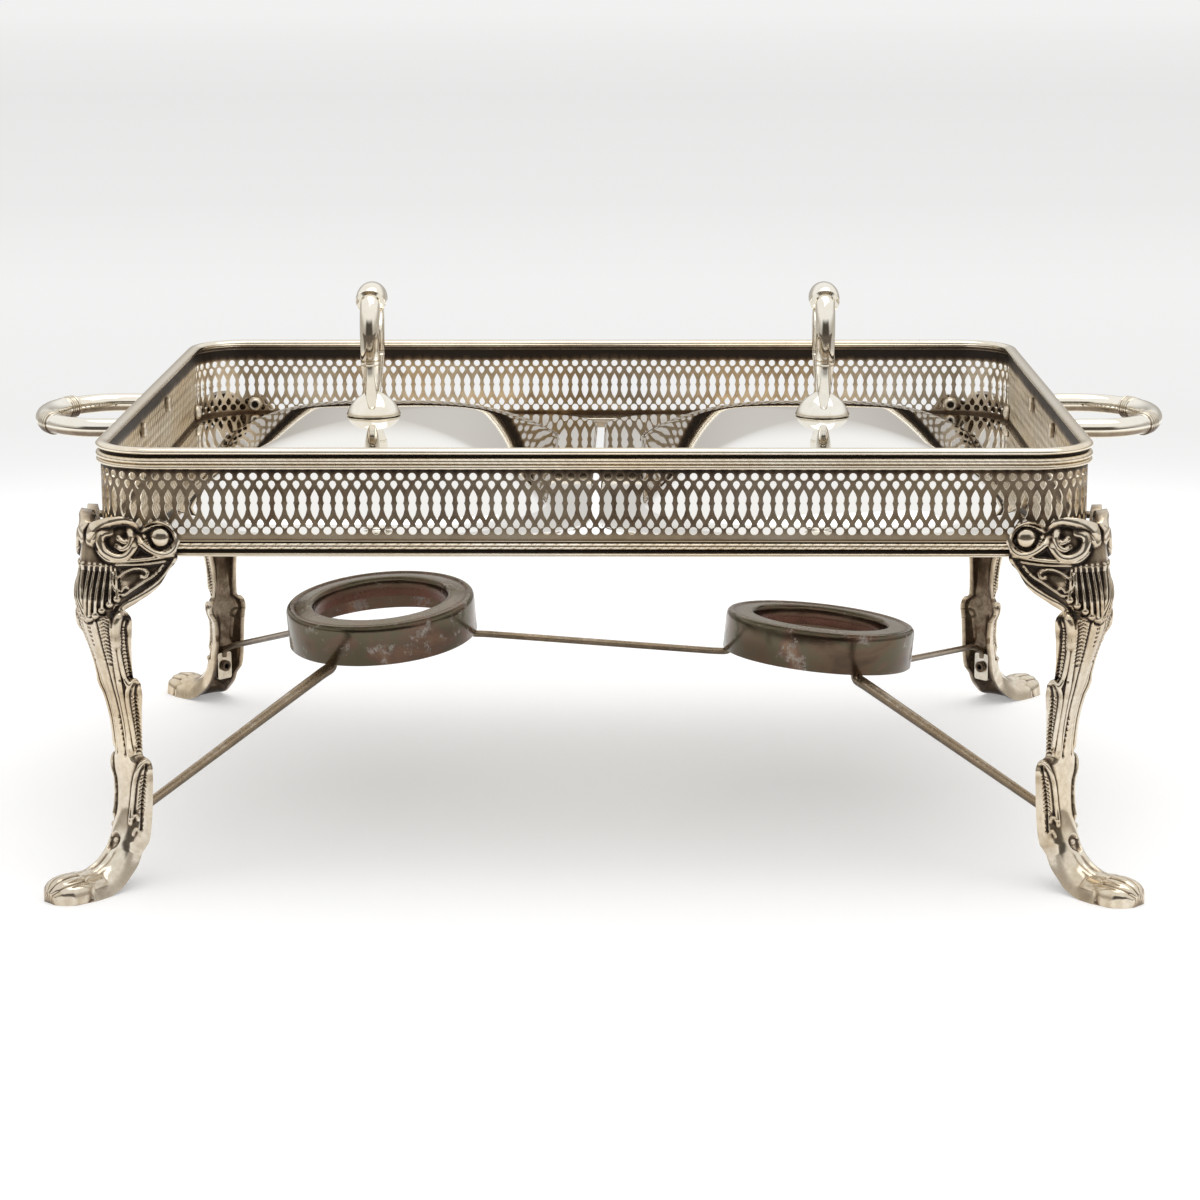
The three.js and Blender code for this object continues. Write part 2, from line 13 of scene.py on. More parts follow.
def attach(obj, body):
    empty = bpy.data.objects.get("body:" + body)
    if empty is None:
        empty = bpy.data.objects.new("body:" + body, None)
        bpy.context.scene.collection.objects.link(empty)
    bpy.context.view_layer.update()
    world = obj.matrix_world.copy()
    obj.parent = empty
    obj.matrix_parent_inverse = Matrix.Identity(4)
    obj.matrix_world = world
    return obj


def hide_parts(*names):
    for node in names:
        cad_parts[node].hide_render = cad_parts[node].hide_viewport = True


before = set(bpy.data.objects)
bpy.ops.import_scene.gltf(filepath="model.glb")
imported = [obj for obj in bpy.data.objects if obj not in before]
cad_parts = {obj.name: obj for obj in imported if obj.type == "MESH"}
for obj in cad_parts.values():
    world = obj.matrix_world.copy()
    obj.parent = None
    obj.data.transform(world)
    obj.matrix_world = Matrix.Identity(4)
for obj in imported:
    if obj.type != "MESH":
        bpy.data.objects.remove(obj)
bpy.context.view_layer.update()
scene = bpy.context.scene
scene.view_settings.view_transform = "Standard"
mm = 0.001
print("frame loaded")


# Camera, fitted to the rim, the side rails and the feet
cameraSettings = {
    "position": (19.07, -1352.36, 391.82), "turn": -0.774, "down": 12.758, "roll": 0.102,
    "lens": 92.7, "sensor": 36, "near": 0.05, "far": 60,
}


def makeCamera(settings):
    turn, down, roll = (math.radians(settings[key]) for key in ("turn", "down", "roll"))
    ahead = Vector((math.sin(turn) * math.cos(down), math.cos(turn) * math.cos(down), -math.sin(down)))
    right = Vector((math.cos(turn), -math.sin(turn), 0))
    below = ahead.cross(right)
    across = right * math.cos(roll) + below * math.sin(roll)
    below = below * math.cos(roll) - right * math.sin(roll)
    data = bpy.data.cameras.new("viewCamera")
    data.lens = settings["lens"]
    data.sensor_width = settings["sensor"]
    data.clip_start, data.clip_end = settings["near"], settings["far"]
    camera = bpy.data.objects.new("viewCamera", data)
    scene.collection.objects.link(camera)
    turned = Matrix((across, -below, -ahead)).transposed().to_4x4()
    camera.matrix_world = Matrix.Translation(Vector(settings["position"]) * mm) @ turned
    scene.camera = camera


makeCamera(cameraSettings)
print("camera placed")


# Node helpers
class Wire:
    # One output socket; arithmetic on it adds Math nodes
    def __init__(self, socket):
        self.socket = socket

    def maths(self, operation, first, second=None):
        tree = self.socket.id_data
        node = tree.nodes.new("ShaderNodeMath")
        node.operation = operation
        for slot, value in zip(node.inputs, (first, second)):
            if isinstance(value, Wire):
                tree.links.new(value.socket, slot)
            elif value is not None:
                slot.default_value = value
        return Wire(node.outputs[0])

    def __add__(self, other):
        return self.maths("ADD", self, other)

    def __radd__(self, other):
        return self.maths("ADD", other, self)

    def __sub__(self, other):
        return self.maths("SUBTRACT", self, other)

    def __rsub__(self, other):
        return self.maths("SUBTRACT", other, self)

    def __mul__(self, other):
        return self.maths("MULTIPLY", self, other)

    def __truediv__(self, other):
        return self.maths("DIVIDE", self, other)

    def fraction(self):
        return self.maths("FRACT", self)
    def limited(self):
        return self.maths("MINIMUM", self.maths("MAXIMUM", self, 0.0), 1.0)

    def also(self, name):
        return Wire(self.socket.node.outputs[name])


def setStops(ramp, stops):
    while len(ramp.elements) < len(stops):
        ramp.elements.new(0.5)
    for element, (where, color) in zip(ramp.elements, stops):
        element.position = where
        element.color = (*color, 1)


class Bench:
    # Adds nodes to one tree
    def __init__(self, tree):
        self.tree = tree

    def add(self, kind, settings=None, sockets=None, out=0):
        node = self.tree.nodes.new(kind)
        for name, value in (settings or {}).items():
            if name == "stops":
                setStops(node.color_ramp, value)
            else:
                setattr(node, name, value)
        for name, value in (sockets or {}).items():
            slot = node.inputs[name]
            if isinstance(value, Wire):
                self.tree.links.new(value.socket, slot)
            else:
                slot.default_value = value
        return Wire(node.outputs[out]) if len(node.outputs) else None

    def blend(self, amount, first, second, how="MIX"):
        first, second = ((*c, 1) if isinstance(c, tuple) and len(c) == 3 else c for c in (first, second))
        settings = {"data_type": "RGBA", "blend_type": how}
        return self.add("ShaderNodeMix", settings, {0: amount, 6: first, 7: second}, out=2)

    def eased(self, value, low, high):
        settings = {"interpolation_type": "SMOOTHSTEP"}
        return self.add("ShaderNodeMapRange", settings, {"Value": value, "From Min": low, "From Max": high})

    def ramp(self, amount, stops):
        return self.add("ShaderNodeValToRGB", {"stops": stops}, {"Fac": amount})

    def noise(self, where, scale, detail, roughness=0.55, distortion=0.0):
        return self.add("ShaderNodeTexNoise", {}, {
            "Vector": where, "Scale": scale, "Detail": detail, "Roughness": roughness,
            "Distortion": distortion,
        })

    def parts(self, vector):
        return self.add("ShaderNodeSeparateXYZ", {}, {0: vector})

    def upward(self):
        return self.parts(self.add("ShaderNodeNewGeometry", out="Normal")).also("Z")

    def patina(self):
        return self.add("ShaderNodeAttribute", {"attribute_name": "patina"}, out="Fac")


def startFinish(name):
    material = bpy.data.materials.new(name)
    material.use_nodes = True
    material.node_tree.nodes.clear()
    bench = Bench(material.node_tree)
    return material, bench, bench.add("ShaderNodeTexCoord", out="Object")


def endFinish(bench, shader):
    bench.add("ShaderNodeOutputMaterial", {}, {"Surface": shader})


def endMetal(bench, color, metallic, roughness, bump):
    endFinish(bench, bench.add("ShaderNodeBsdfPrincipled", {}, {
        "Base Color": color, "Metallic": metallic, "Roughness": roughness,
        "Normal": bench.add("ShaderNodeBump", {}, bump),
    }))


# Silver plate with tarnish in the hollows. The per-point attribute is 1 in a hollow and 0 on a crest; on some
# pieces it also carries painted shade.
# Height bands and faces turned up or down darken or lighten the tone from one height in mm to another and by
# the upward part of the normal: painted shade and painted reflection, not tarnish.
def platedFinish(name, look):
    material, bench, where = startFinish(name)
    clouds = bench.noise(where, look["cloudScale"], 5.0, 0.6, 0.4)
    grime = bench.noise(where, look["cloudScale"] * look["grimeScale"], 6.0, 0.7)
    fine = bench.noise(where, look["fineScale"], 2.0)
    tarnishAndShade = bench.patina() * look["hollows"] + (clouds - 0.5) * look["clouding"]
    tarnishAndShade = tarnishAndShade + (grime - 0.5) * look["grime"] + look["base"]
    # Painted light: height bands and facing darken or lighten the tone as painted shade and painted
    # reflection
    for low, high, amount in look.get("strips", ()):
        tarnishAndShade = tarnishAndShade + bench.eased(bench.parts(where).also("Z"), low * mm, high * mm) * amount
    for low, high, amount in look.get("facing", ()):
        tarnishAndShade = tarnishAndShade + bench.eased(bench.upward(), low, high) * amount
    tarnishAndShade = tarnishAndShade.limited()
    warmth = bench.eased(bench.noise(where, look["cloudScale"] * look["warmScale"], 3.0), 0.35, 0.7)
    color = bench.ramp(tarnishAndShade, look["colors"])
    color = bench.blend(warmth * look["warming"], color, look["warm"], "MULTIPLY")
    roughness = look["roughness"] + tarnishAndShade * look["dulling"] + (grime - 0.5) * look["smears"]
    endMetal(bench, color, 1.0 - tarnishAndShade * look["dirt"], roughness, {
        "Strength": look["bump"], "Distance": look["bumpDepth"], "Height": fine * 0.4 + grime * 0.6,
    })
    return material


silverLook = {
    "cloudScale": 14.0, "grimeScale": 9, "fineScale": 2600.0, "warmScale": 0.6, "hollows": 1.0,
    "clouding": 0.35, "grime": 0.3, "base": 0.1, "warming": 0.45, "warm": (1.0, 0.87, 0.66),
    "roughness": 0.15, "dulling": 0.28, "smears": 0.12, "bump": 0.12, "bumpDepth": 0.0002, "dirt": 0.3,
    "colors": [(0.0, (0.88, 0.83, 0.73)), (0.35, (0.57, 0.48, 0.36)), (0.7, (0.13, 0.09, 0.06)),
               (1.0, (0.025, 0.018, 0.013))],
}
railSilver = platedFinish("railSilver", {**silverLook, "base": 0.06, "clouding": 0.25, "roughness": 0.13})
# Faces of the legs turned downwards are darker: painted shade
legSilver = platedFinish("legSilver", {
    **silverLook, "base": 0.2, "clouding": 0.5, "grime": 0.45, "cloudScale": 34.0, "roughness": 0.1,
    "dulling": 0.14, "facing": [(0.0, -0.6, 0.2)],
})
# Gallery front: darker just under the rim, painted shade, and paler along its foot, a painted reflection of
# the floor
gallerySilver = platedFinish("gallerySilver", {
    **silverLook, "base": 0.58, "clouding": 0.5, "grime": 0.45, "cloudScale": 20.0, "roughness": 0.22,
    "strips": [(171.0, 172.6, 0.25), (148.5, 146.0, -0.24)],
})
cutSilver = platedFinish("cutSilver", {
    **silverLook, "base": 0.0, "clouding": 0.15, "grime": 0.2, "roughness": 0.3,
})
# Inside of the gallery: darker under the rim and along the ledge, painted shade
insideSilver = platedFinish("insideSilver", {
    **silverLook, "base": 0.38, "clouding": 0.8, "grime": 0.5, "cloudScale": 16.0, "roughness": 0.22,
    "warming": 0.9, "warm": (1.0, 0.82, 0.56), "strips": [(171.0, 173.5, 0.4), (148.0, 146.0, 0.35)],
})
handleLook = {
    **silverLook, "base": 0.04, "clouding": 0.26, "grime": 0.2, "roughness": 0.06, "smears": 0.08,
    "bump": 0.05, "warming": 0.3, "cloudScale": 30.0,
    "colors": [(0.0, (0.93, 0.91, 0.85)), (0.3, (0.72, 0.65, 0.52)), (0.7, (0.2, 0.145, 0.1)),
               (1.0, (0.08, 0.055, 0.04))],
}
handleSilver = platedFinish("handleSilver", handleLook)
# Side handle loops: darker on faces turned downwards, a painted reflection of the dark room, and paler on the
# very bottom, a painted reflection of the floor
loopSilver = platedFinish("loopSilver", {
    **handleLook, "facing": [(-0.05, -0.4, 0.62), (-0.7, -0.92, -0.5)],
})
mirrorSilver = platedFinish("mirrorSilver", {
    **silverLook, "base": -0.1, "clouding": 0.12, "grime": 0.1, "roughness": 0.025, "smears": 0.05,
    "bump": 0.015, "warming": 0.08,
    "colors": [(0.0, (0.95, 0.94, 0.92)), (0.5, (0.8, 0.77, 0.7)), (1.0, (0.3, 0.25, 0.2))],
})
rivetSilver = platedFinish("rivetSilver", {
    **silverLook, "base": 0.16, "clouding": 0.4, "grime": 0.5, "cloudScale": 60.0, "roughness": 0.27,
    "warming": 0.2,
})
# The sides and undersides of the rods are darker and the tops stay pale: painted shade below a painted
# highlight
rodBronze = platedFinish("rodBronze", {
    **silverLook, "base": 0.2, "clouding": 0.5, "grime": 0.5, "cloudScale": 40.0, "roughness": 0.2,
    "dulling": 0.2, "bump": 0.25, "facing": [(0.6, -0.3, 0.5)],
    "colors": [(0.0, (0.78, 0.74, 0.66)), (0.3, (0.42, 0.33, 0.23)), (1.0, (0.07, 0.05, 0.035))],
})


# Heat and soot on the burner rings: brown, olive, purple and copper films with pale mottling
ringLook = {
    "stops": [(0.22, (0.035, 0.028, 0.023)), (0.38, (0.13, 0.09, 0.06)), (0.47, (0.11, 0.1, 0.065)),
              (0.55, (0.15, 0.095, 0.07)), (0.66, (0.24, 0.15, 0.09)), (0.8, (0.07, 0.08, 0.065))],
    "filmScale": 22.0, "spotScale": 170.0, "ash": 0.6, "mottle": (0.46, 0.44, 0.39),
    "topShare": 0.45, "pale": (0.36, 0.31, 0.23), "rustShare": 0.7, "rust": (0.11, 0.035, 0.025),
    "roughness": 0.17, "metallic": 0.92, "bump": 0.25, "bumpDepth": 0.0003,
}


def burntFinish(name, look):
    material, bench, where = startFinish(name)
    patina = bench.patina()
    film = bench.noise(where, look["filmScale"], 5.0, 0.55, 1.1)
    spots = bench.noise(where, look["spotScale"], 6.0, 0.7)
    ash = bench.eased(spots + (film - 0.5) * 0.9, 0.55, 0.72) * look["ash"]
    # Faces turned upwards are blended towards the pale tone: painted light from above
    top = bench.eased(bench.upward(), 0.75, 0.97) * look["topShare"]
    color = bench.blend(ash, bench.ramp(film, look["stops"]), look["mottle"])
    color = bench.blend(top, color, look["pale"])
    color = bench.blend((patina * look["rustShare"]).limited(), color, look["rust"])
    roughness = look["roughness"] + ash * 0.35 + (spots - 0.5) * 0.22 + patina * 0.1
    endMetal(bench, color, look["metallic"] - ash * 0.8, roughness, {
        "Strength": look["bump"], "Distance": look["bumpDepth"], "Height": spots,
    })
    return material


burntPlate = burntFinish("burntPlate", ringLook)
print("finishes made")


# Mesh helpers
def arcPoints(center, radii, start, end, count):
    angles = np.radians(np.linspace(start, end, count))
    return [(center[0] + radii[0] * math.cos(a), center[1] + radii[1] * math.sin(a)) for a in angles]


# Corners of a path or an outline replaced by short curves
def softened(points, radius, steps=3, closed=False):
    points = [np.array(p, float) for p in points]
    count = len(points)
    result = []
    for i, corner in enumerate(points):
        if not closed and i in (0, count - 1):
            result.append(corner)
            continue
        back = points[i - 1] - corner
        ahead = points[(i + 1) % count] - corner
        reach = min(radius, np.linalg.norm(back) / 2.2, np.linalg.norm(ahead) / 2.2)
        start = corner + back / np.linalg.norm(back) * reach
        end = corner + ahead / np.linalg.norm(ahead) * reach
        for t in np.linspace(0, 1, steps + 1):
            result.append((1 - t) ** 2 * start + 2 * t * (1 - t) * corner + t * t * end)
    return result


# A curve through values with no overshoot between them
def flowing(known, values, wanted):
    known, values, wanted = (np.asarray(v, float) for v in (known, values, wanted))
    step = np.diff(known)
    slope = np.diff(values) / step
    tangent = np.zeros_like(values)
    tangent[0], tangent[-1] = slope[0], slope[-1]
    same = slope[:-1] * slope[1:] > 0
    w1, w2 = 2 * step[1:] + step[:-1], step[1:] + 2 * step[:-1]
    safe = np.where(same, slope[:-1], 1), np.where(same, slope[1:], 1)
    tangent[1:-1] = np.where(same, (w1 + w2) / (w1 / safe[0] + w2 / safe[1]), 0)
    i = np.clip(np.searchsorted(known, wanted, side="right") - 1, 0, len(step) - 1)
    t = np.clip((wanted - known[i]) / step[i], 0, 1)
    return (values[i] * (1 + 2 * t) * (1 - t) ** 2 + step[i] * tangent[i] * t * (1 - t) ** 2
            + values[i + 1] * t * t * (3 - 2 * t) + step[i] * tangent[i + 1] * t * t * (t - 1))


# Distance travelled along a path at each of its points
def travelAlong(points):
    return np.concatenate([[0], np.cumsum(np.linalg.norm(np.diff(points, axis=0), axis=1))])


# A curve through points, at even distances
def smoothLine(points, steps=5):
    points = np.array(points, float)
    along = travelAlong(points)
    wanted = np.linspace(0, along[-1], steps * (len(points) - 1) + 1)
    ends = np.vstack([2 * points[0] - points[1], points, 2 * points[-1] - points[-2]])
    i = np.clip(np.searchsorted(along, wanted, side="right") - 1, 0, len(points) - 2)
    t = ((wanted - along[i]) / (along[i + 1] - along[i]))[:, None]
    p0, p1, p2, p3 = ends[i], ends[i + 1], ends[i + 2], ends[i + 3]
    return 0.5 * (2 * p1 + (p2 - p0) * t + (2 * p0 - 5 * p1 + 4 * p2 - p3) * t ** 2
                  + (3 * p1 - p0 - 3 * p2 + p3) * t ** 3)


def evenPath(points, count):
    points = np.array(points, float)
    along = travelAlong(points)
    wanted = np.linspace(0, along[-1], count)
    return np.stack([np.interp(wanted, along, points[:, k]) for k in range(3)], 1)


class Shape:
    # Points in millimetres, faces, and a value for each point of patina in the hollows, with painted shade on
    # some pieces
    def __init__(self, points, faces, patina=0.0):
        self.points = [np.array(p, float) for p in points]
        self.faces = faces
        self.patina = list(np.broadcast_to(patina, len(self.points)))

    def joined(self, other):
        base = len(self.points)
        self.points += other.points
        self.faces += [[i + base for i in f] for f in other.faces]
        self.patina += other.patina
        return self

    def moved(self, matrix):
        self.points = [np.array(matrix @ Vector(p)) for p in self.points]
        return self


# Rings of points skinned one after another; a looped run closes on itself, another gets end caps
def skinned(rings, looped, patina=0.0, capped=True):
    count = len(rings[0])
    points = [p for ring in rings for p in ring]
    faces = []
    for i in range(len(rings) if looped else len(rings) - 1):
        below, above = i * count, ((i + 1) % len(rings)) * count
        for j in range(count):
            k = (j + 1) % count
            faces.append([below + j, below + k, above + k, above + j])
    levels = list(np.broadcast_to(patina, len(points)))
    if not looped and capped:
        for first in (0, (len(rings) - 1) * count):
            points.append(np.mean([points[first + j] for j in range(count)], axis=0))
            levels.append(levels[first])
            faces += [[len(points) - 1, first + j, first + (j + 1) % count] for j in range(count)]
    return Shape(points, faces, levels)


def tidyMesh(mesh, clean, crease):
    work = bmesh.new()
    work.from_mesh(mesh)
    if clean:
        bmesh.ops.remove_doubles(work, verts=work.verts, dist=2e-6)
    bmesh.ops.recalc_face_normals(work, faces=work.faces)
    work.to_mesh(mesh)
    work.free()
    mesh.shade_smooth()
    mesh.set_sharp_from_angle(angle=math.radians(crease))


def meshOf(name, shape, clean=True, crease=38):
    mesh = bpy.data.meshes.new(name)
    mesh.from_pydata([Vector(p) * mm for p in shape.points], [], shape.faces)
    levels = mesh.attributes.new("patina", "FLOAT", "POINT").data
    levels.foreach_set("value", np.array(shape.patina, np.float32))
    tidyMesh(mesh, clean, crease)
    return mesh


def placePiece(name, mesh, node, body="stand"):
    piece = bpy.data.objects.new(name, mesh)
    scene.collection.objects.link(piece)
    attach(piece, body)
    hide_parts(node)


def makePiece(name, shape, finish, node, body="stand", clean=True, crease=38):
    mesh = meshOf(name, shape, clean, crease)
    mesh.materials.append(finish)
    placePiece(name, mesh, node, body)


def circleAngles(count):
    return np.arange(count) / count * 2 * math.pi


# A round bar along a path, with its own radius at each point
def barShape(path, radii, sides, patina):
    path = np.array(path, float)
    ahead = np.gradient(path, axis=0)
    ahead /= np.linalg.norm(ahead, axis=1)[:, None]
    side = np.cross((0.31, 0.17, 0.94), ahead[0])
    rings = []
    for point, direction, radius in zip(path, ahead, np.broadcast_to(radii, len(path))):
        side = side - side.dot(direction) * direction
        side /= np.linalg.norm(side)
        up = np.cross(direction, side)
        rings.append([point + radius * (math.cos(a) * side + math.sin(a) * up) for a in circleAngles(sides)])
    return skinned(rings, False, np.repeat(np.broadcast_to(patina, len(path)), sides))


# A turned piece about +Z; profile rows are radius, height and patina
def turnedShape(profile, segments, looped=False):
    rings = [[np.array((radius * math.cos(a), radius * math.sin(a), height)) for a in circleAngles(segments)]
             for radius, height, _ in profile]
    return skinned(rings, looped, np.repeat([patina for _, _, patina in profile], segments))


def outwardMatrix(place, direction):
    turn = Vector((0, 0, 1)).rotation_difference(Vector(direction))
    return Matrix.Translation(Vector(place)) @ turn.to_matrix().to_4x4()


def insideLoop(point, loop):
    inside = False
    for (x1, y1), (x2, y2) in zip(loop, loop[1:] + loop[:1]):
        if (y1 > point[1]) != (y2 > point[1]):
            if point[0] < x1 + (point[1] - y1) / (y2 - y1) * (x2 - x1):
                inside = not inside
    return inside


# Triangles that fill an outline and leave its holes open
def filledSheet(outline, holes):
    loops = [outline] + holes
    points = [Vector(p) for loop in loops for p in loop]
    edges = []
    for loop in loops:
        base = len(edges)
        edges += [(base + i, base + (i + 1) % len(loop)) for i in range(len(loop))]
    found, _, faces, *_ = delaunay_2d_cdt(points, edges, [], 0, 1e-5)
    kept = []
    for face in faces:
        middle = sum((found[i] for i in face), Vector((0, 0))) / len(face)
        if insideLoop(middle, outline) and not any(insideLoop(middle, hole) for hole in holes):
            kept.append(list(face))
    return [tuple(p) for p in found], kept


# Frame; the gallery sheet's outer face is the path that the piercing and the beads follow
frameSize = {
    "halfLength": 200.0, "halfDepth": 156.0, "corner": 26.0, "cornerSteps": 16, "galleryInset": 2.0,
    "gallerySheet": 1.0, "galleryBottom": 144.6, "galleryTop": 177.0, "pathSteps": 24,
}
wallX = frameSize["halfLength"] - frameSize["galleryInset"] - frameSize["gallerySheet"]
wallY = frameSize["halfDepth"] - frameSize["galleryInset"] - frameSize["gallerySheet"]
pathLength = 2 * (frameSize["halfLength"] - frameSize["galleryInset"])
pathDepth = 2 * (frameSize["halfDepth"] - frameSize["galleryInset"])
pathRadius = frameSize["corner"] - frameSize["galleryInset"]
pathBend = math.pi / 2 * pathRadius
pathAround = 2 * (pathLength + pathDepth) - 8 * pathRadius + 4 * pathBend


def frameLoop(inset, height):
    corner = frameSize["corner"]
    ring = []
    for sx, sy, quarter in ((1, 1, 0), (-1, 1, 1), (-1, -1, 2), (1, -1, 3)):
        for i in range(frameSize["cornerSteps"] + 1):
            angle = (quarter + i / frameSize["cornerSteps"]) * math.pi / 2
            ring.append(np.array((
                sx * (frameSize["halfLength"] - corner) + (corner - inset) * math.cos(angle),
                sy * (frameSize["halfDepth"] - corner) + (corner - inset) * math.sin(angle),
                height,
            )))
    return ring


# A moulding run round the frame; profile rows are inset, height and patina
def frameMoulding(profile):
    rings = [frameLoop(inset, height) for inset, height, _ in profile]
    return skinned(rings, True, np.repeat([patina for _, _, patina in profile], len(rings[0])))


def tinted(points, patina):
    return [(x, y, patina) for x, y in points]


rimProfile = (
    tinted(arcPoints((1.2, 174.15), (0.95, 0.95), 270, 90, 9), 0.1)
    + [(1.35, 175.2, 0.3), (1.5, 175.6, 0.3), (2.2, 176.0, 0.9), (2.2, 178.2, 1.0), (2.3, 178.8, 1.0)]
    + tinted(arcPoints((2.7, 180.2), (2.6, 1.5), 250, -74, 20), 0.0)
    + [(3.4, 178.3, 0.8), (2.6, 177.9, 0.8), (2.0, 173.2, 0.8)]
)
baseProfile = (
    [(1.4, 144.6, 0.5), (0.95, 144.6, 0.3), (0.8, 144.35, 0.3), (1.0, 144.1, 0.9), (2.0, 144.0, 1.0),
     (2.0, 140.8, 1.0), (1.6, 140.6, 1.0), (1.5, 139.9, 1.0)]
    + tinted(arcPoints((1.1, 138.95), (0.95, 0.75), 90, 270, 8), 0.1)
    + [(2.4, 138.2, 0.3), (3.0, 142.7, 0.4), (3.6, 143.1, 0.4), (13.8, 143.1, 0.25), (14, 143.3, 0.1),
       (14, 144.4, 0.1), (13.8, 144.6, 0.15)]
)
makePiece("rimRail", frameMoulding(rimProfile), railSilver, "rim_rail")
makePiece("baseRail", frameMoulding(baseProfile), railSilver, "base_rail")
print("rails made")


# Geometry Nodes tree that repeats a cell along the frame and bends it round the corners.
# In a cell x runs along the frame, y is the distance outside the path, and z is the height.
rowSockets = (
    ("Cell", "NodeSocketGeometry"), ("Repeats", "NodeSocketInt"), ("Pitch", "NodeSocketFloat"),
    ("Start", "NodeSocketFloat"),
    ("Length", "NodeSocketFloat"), ("Depth", "NodeSocketFloat"), ("Corner Radius", "NodeSocketFloat"),
    ("Corner Steps", "NodeSocketInt"), ("Finish", "NodeSocketMaterial"),
)


def frameRowTree():
    tree = bpy.data.node_groups.new("frameRow", "GeometryNodeTree")
    tree.interface.new_socket(name="Row", in_out="OUTPUT", socket_type="NodeSocketGeometry")
    names = {}
    for label, kind in rowSockets:
        names[label] = tree.interface.new_socket(name=label, in_out="INPUT", socket_type=kind).identifier
    bench = Bench(tree)
    given = bench.add("NodeGroupInput")
    step = bench.add("ShaderNodeCombineXYZ", {}, {"X": given.also("Pitch")})
    line = bench.add("GeometryNodeMeshLine", {"mode": "OFFSET"},
                     {"Count": given.also("Repeats"), "Offset": step})
    cells = bench.add("GeometryNodeInstanceOnPoints", {}, {"Points": line, "Instance": given})
    strip = bench.add("GeometryNodeRealizeInstances", {}, {"Geometry": cells})
    path = bench.add("GeometryNodeCurvePrimitiveQuadrilateral", {"mode": "RECTANGLE"},
                     {"Width": given.also("Length"), "Height": given.also("Depth")})
    path = bench.add("GeometryNodeFilletCurve", {"mode": "POLY"}, {
        "Curve": path, "Count": given.also("Corner Steps"), "Radius": given.also("Corner Radius"),
    })
    spot = bench.parts(bench.add("GeometryNodeInputPosition"))
    share = given.also("Start") + spot / (given.also("Pitch") * given.also("Repeats"))
    sample = bench.add("GeometryNodeSampleCurve", {"mode": "FACTOR", "use_all_curves": True},
                       {"Curves": path, "Factor": share.fraction()}, out="Position")
    base, ahead, away = bench.parts(sample), bench.parts(sample.also("Tangent")), spot.also("Y")
    target = bench.add("ShaderNodeCombineXYZ", {}, {
        "X": base + ahead.also("Y") * away, "Y": base.also("Y") - ahead * away, "Z": spot.also("Z"),
    })
    bent = bench.add("GeometryNodeSetPosition", {}, {"Geometry": strip, "Position": target})
    closed = bench.add("GeometryNodeMergeByDistance", {}, {"Geometry": bent, "Distance": 0.04 * mm})
    plain = bench.add("GeometryNodeRealizeInstances", {}, {"Geometry": closed})
    done = bench.add("GeometryNodeSetMaterial", {}, {"Geometry": plain, "Material": given.also("Finish")})
    bench.add("NodeGroupOutput", {}, {"Row": done})
    return tree, names


rowTree, rowNames = frameRowTree()


# The mesh of a short-lived object after its one modifier
def modifiedMesh(name, mesh, kind, modify):
    holder = bpy.data.objects.new(name + "Holder", mesh)
    scene.collection.objects.link(holder)
    modify(holder.modifiers.new(name, kind))
    evaluated = holder.evaluated_get(bpy.context.evaluated_depsgraph_get())
    result = bpy.data.meshes.new_from_object(evaluated)
    bpy.data.objects.remove(holder)
    result.name = name
    return result


def rowAlongFrame(name, cell, repeats, finish):
    straights = pathLength + pathDepth - 4 * pathRadius
    # The path starts at the right-hand end of the rear corner and runs anticlockwise
    toFront = 3 * pathBend + straights + pathLength / 2 - pathRadius + gallerySettings["firstX"]
    values = {
        "Repeats": repeats, "Pitch": pathAround / repeats * mm, "Start": toFront / pathAround,
        "Length": pathLength * mm, "Depth": pathDepth * mm, "Corner Radius": pathRadius * mm,
        "Corner Steps": frameSize["pathSteps"], "Finish": finish,
    }

    def fill(modifier):
        modifier.node_group = rowTree
        for label, value in values.items():
            modifier[rowNames[label]] = value

    return modifiedMesh(name, cell, "NODES", fill)


# Gallery: one column of the piercing, repeated round the frame. Holes are height and radius,
# and the half outlines run down from the top
gallerySettings = {
    "columns": 283, "firstX": -1.2, "tuckedUnder": 0.6, "holePoints": 10, "shadedAbove": 171.9, "shade": 0.5,
    "topHole": (170.25, 1.55), "bottomHole": (148.45, 1.65),
    "upperDrop": [(0, 168.7), (1.0, 168.2), (1.42, 167.1), (0.85, 165.9), (0, 165.0)],
    "lowerDrop": [(0, 153.4), (0.85, 152.4), (1.42, 151.2), (1.0, 149.9), (0, 149.3)],
    "peanut": [(0, 165.2), (0.95, 163.6), (1.62, 161.9), (1.5, 160.4), (1.12, 159.6), (1.5, 158.7),
               (1.75, 157.2), (1.15, 154.9), (0, 152.8)],
}
columnPitch = pathAround / gallerySettings["columns"]


def galleryColumn(settings, pitch):
    bottom, top = frameSize["galleryBottom"] - settings["tuckedUnder"], frameSize["galleryTop"]
    left = [(0, top)] + settings["upperDrop"] + settings["lowerDrop"] + [(0, bottom)]
    outline = left + [(pitch - x, z) for x, z in reversed(left)]
    middle, half, count = pitch / 2, settings["peanut"], settings["holePoints"]
    holes = [arcPoints((middle, z), (r, r), 0, 360 - 360 / count, count)
             for z, r in (settings["topHole"], settings["bottomHole"])]
    holes.append([(middle + x, z) for x, z in half] + [(middle - x, z) for x, z in reversed(half[1:-1])])
    points, faces = filledSheet(outline, holes)
    # Above the top holes the sheet gets painted shade under the rim
    levels = [settings["shade"] if z > settings["shadedAbove"] else 0.0 for _, z in points]
    return Shape([(x, 0, z) for x, z in points], faces, levels)


def thicken(modifier):
    modifier.thickness = frameSize["gallerySheet"] * mm
    modifier.offset = -1
    modifier.use_even_offset = False
    modifier.material_offset_rim = 1
    modifier.material_offset = 2


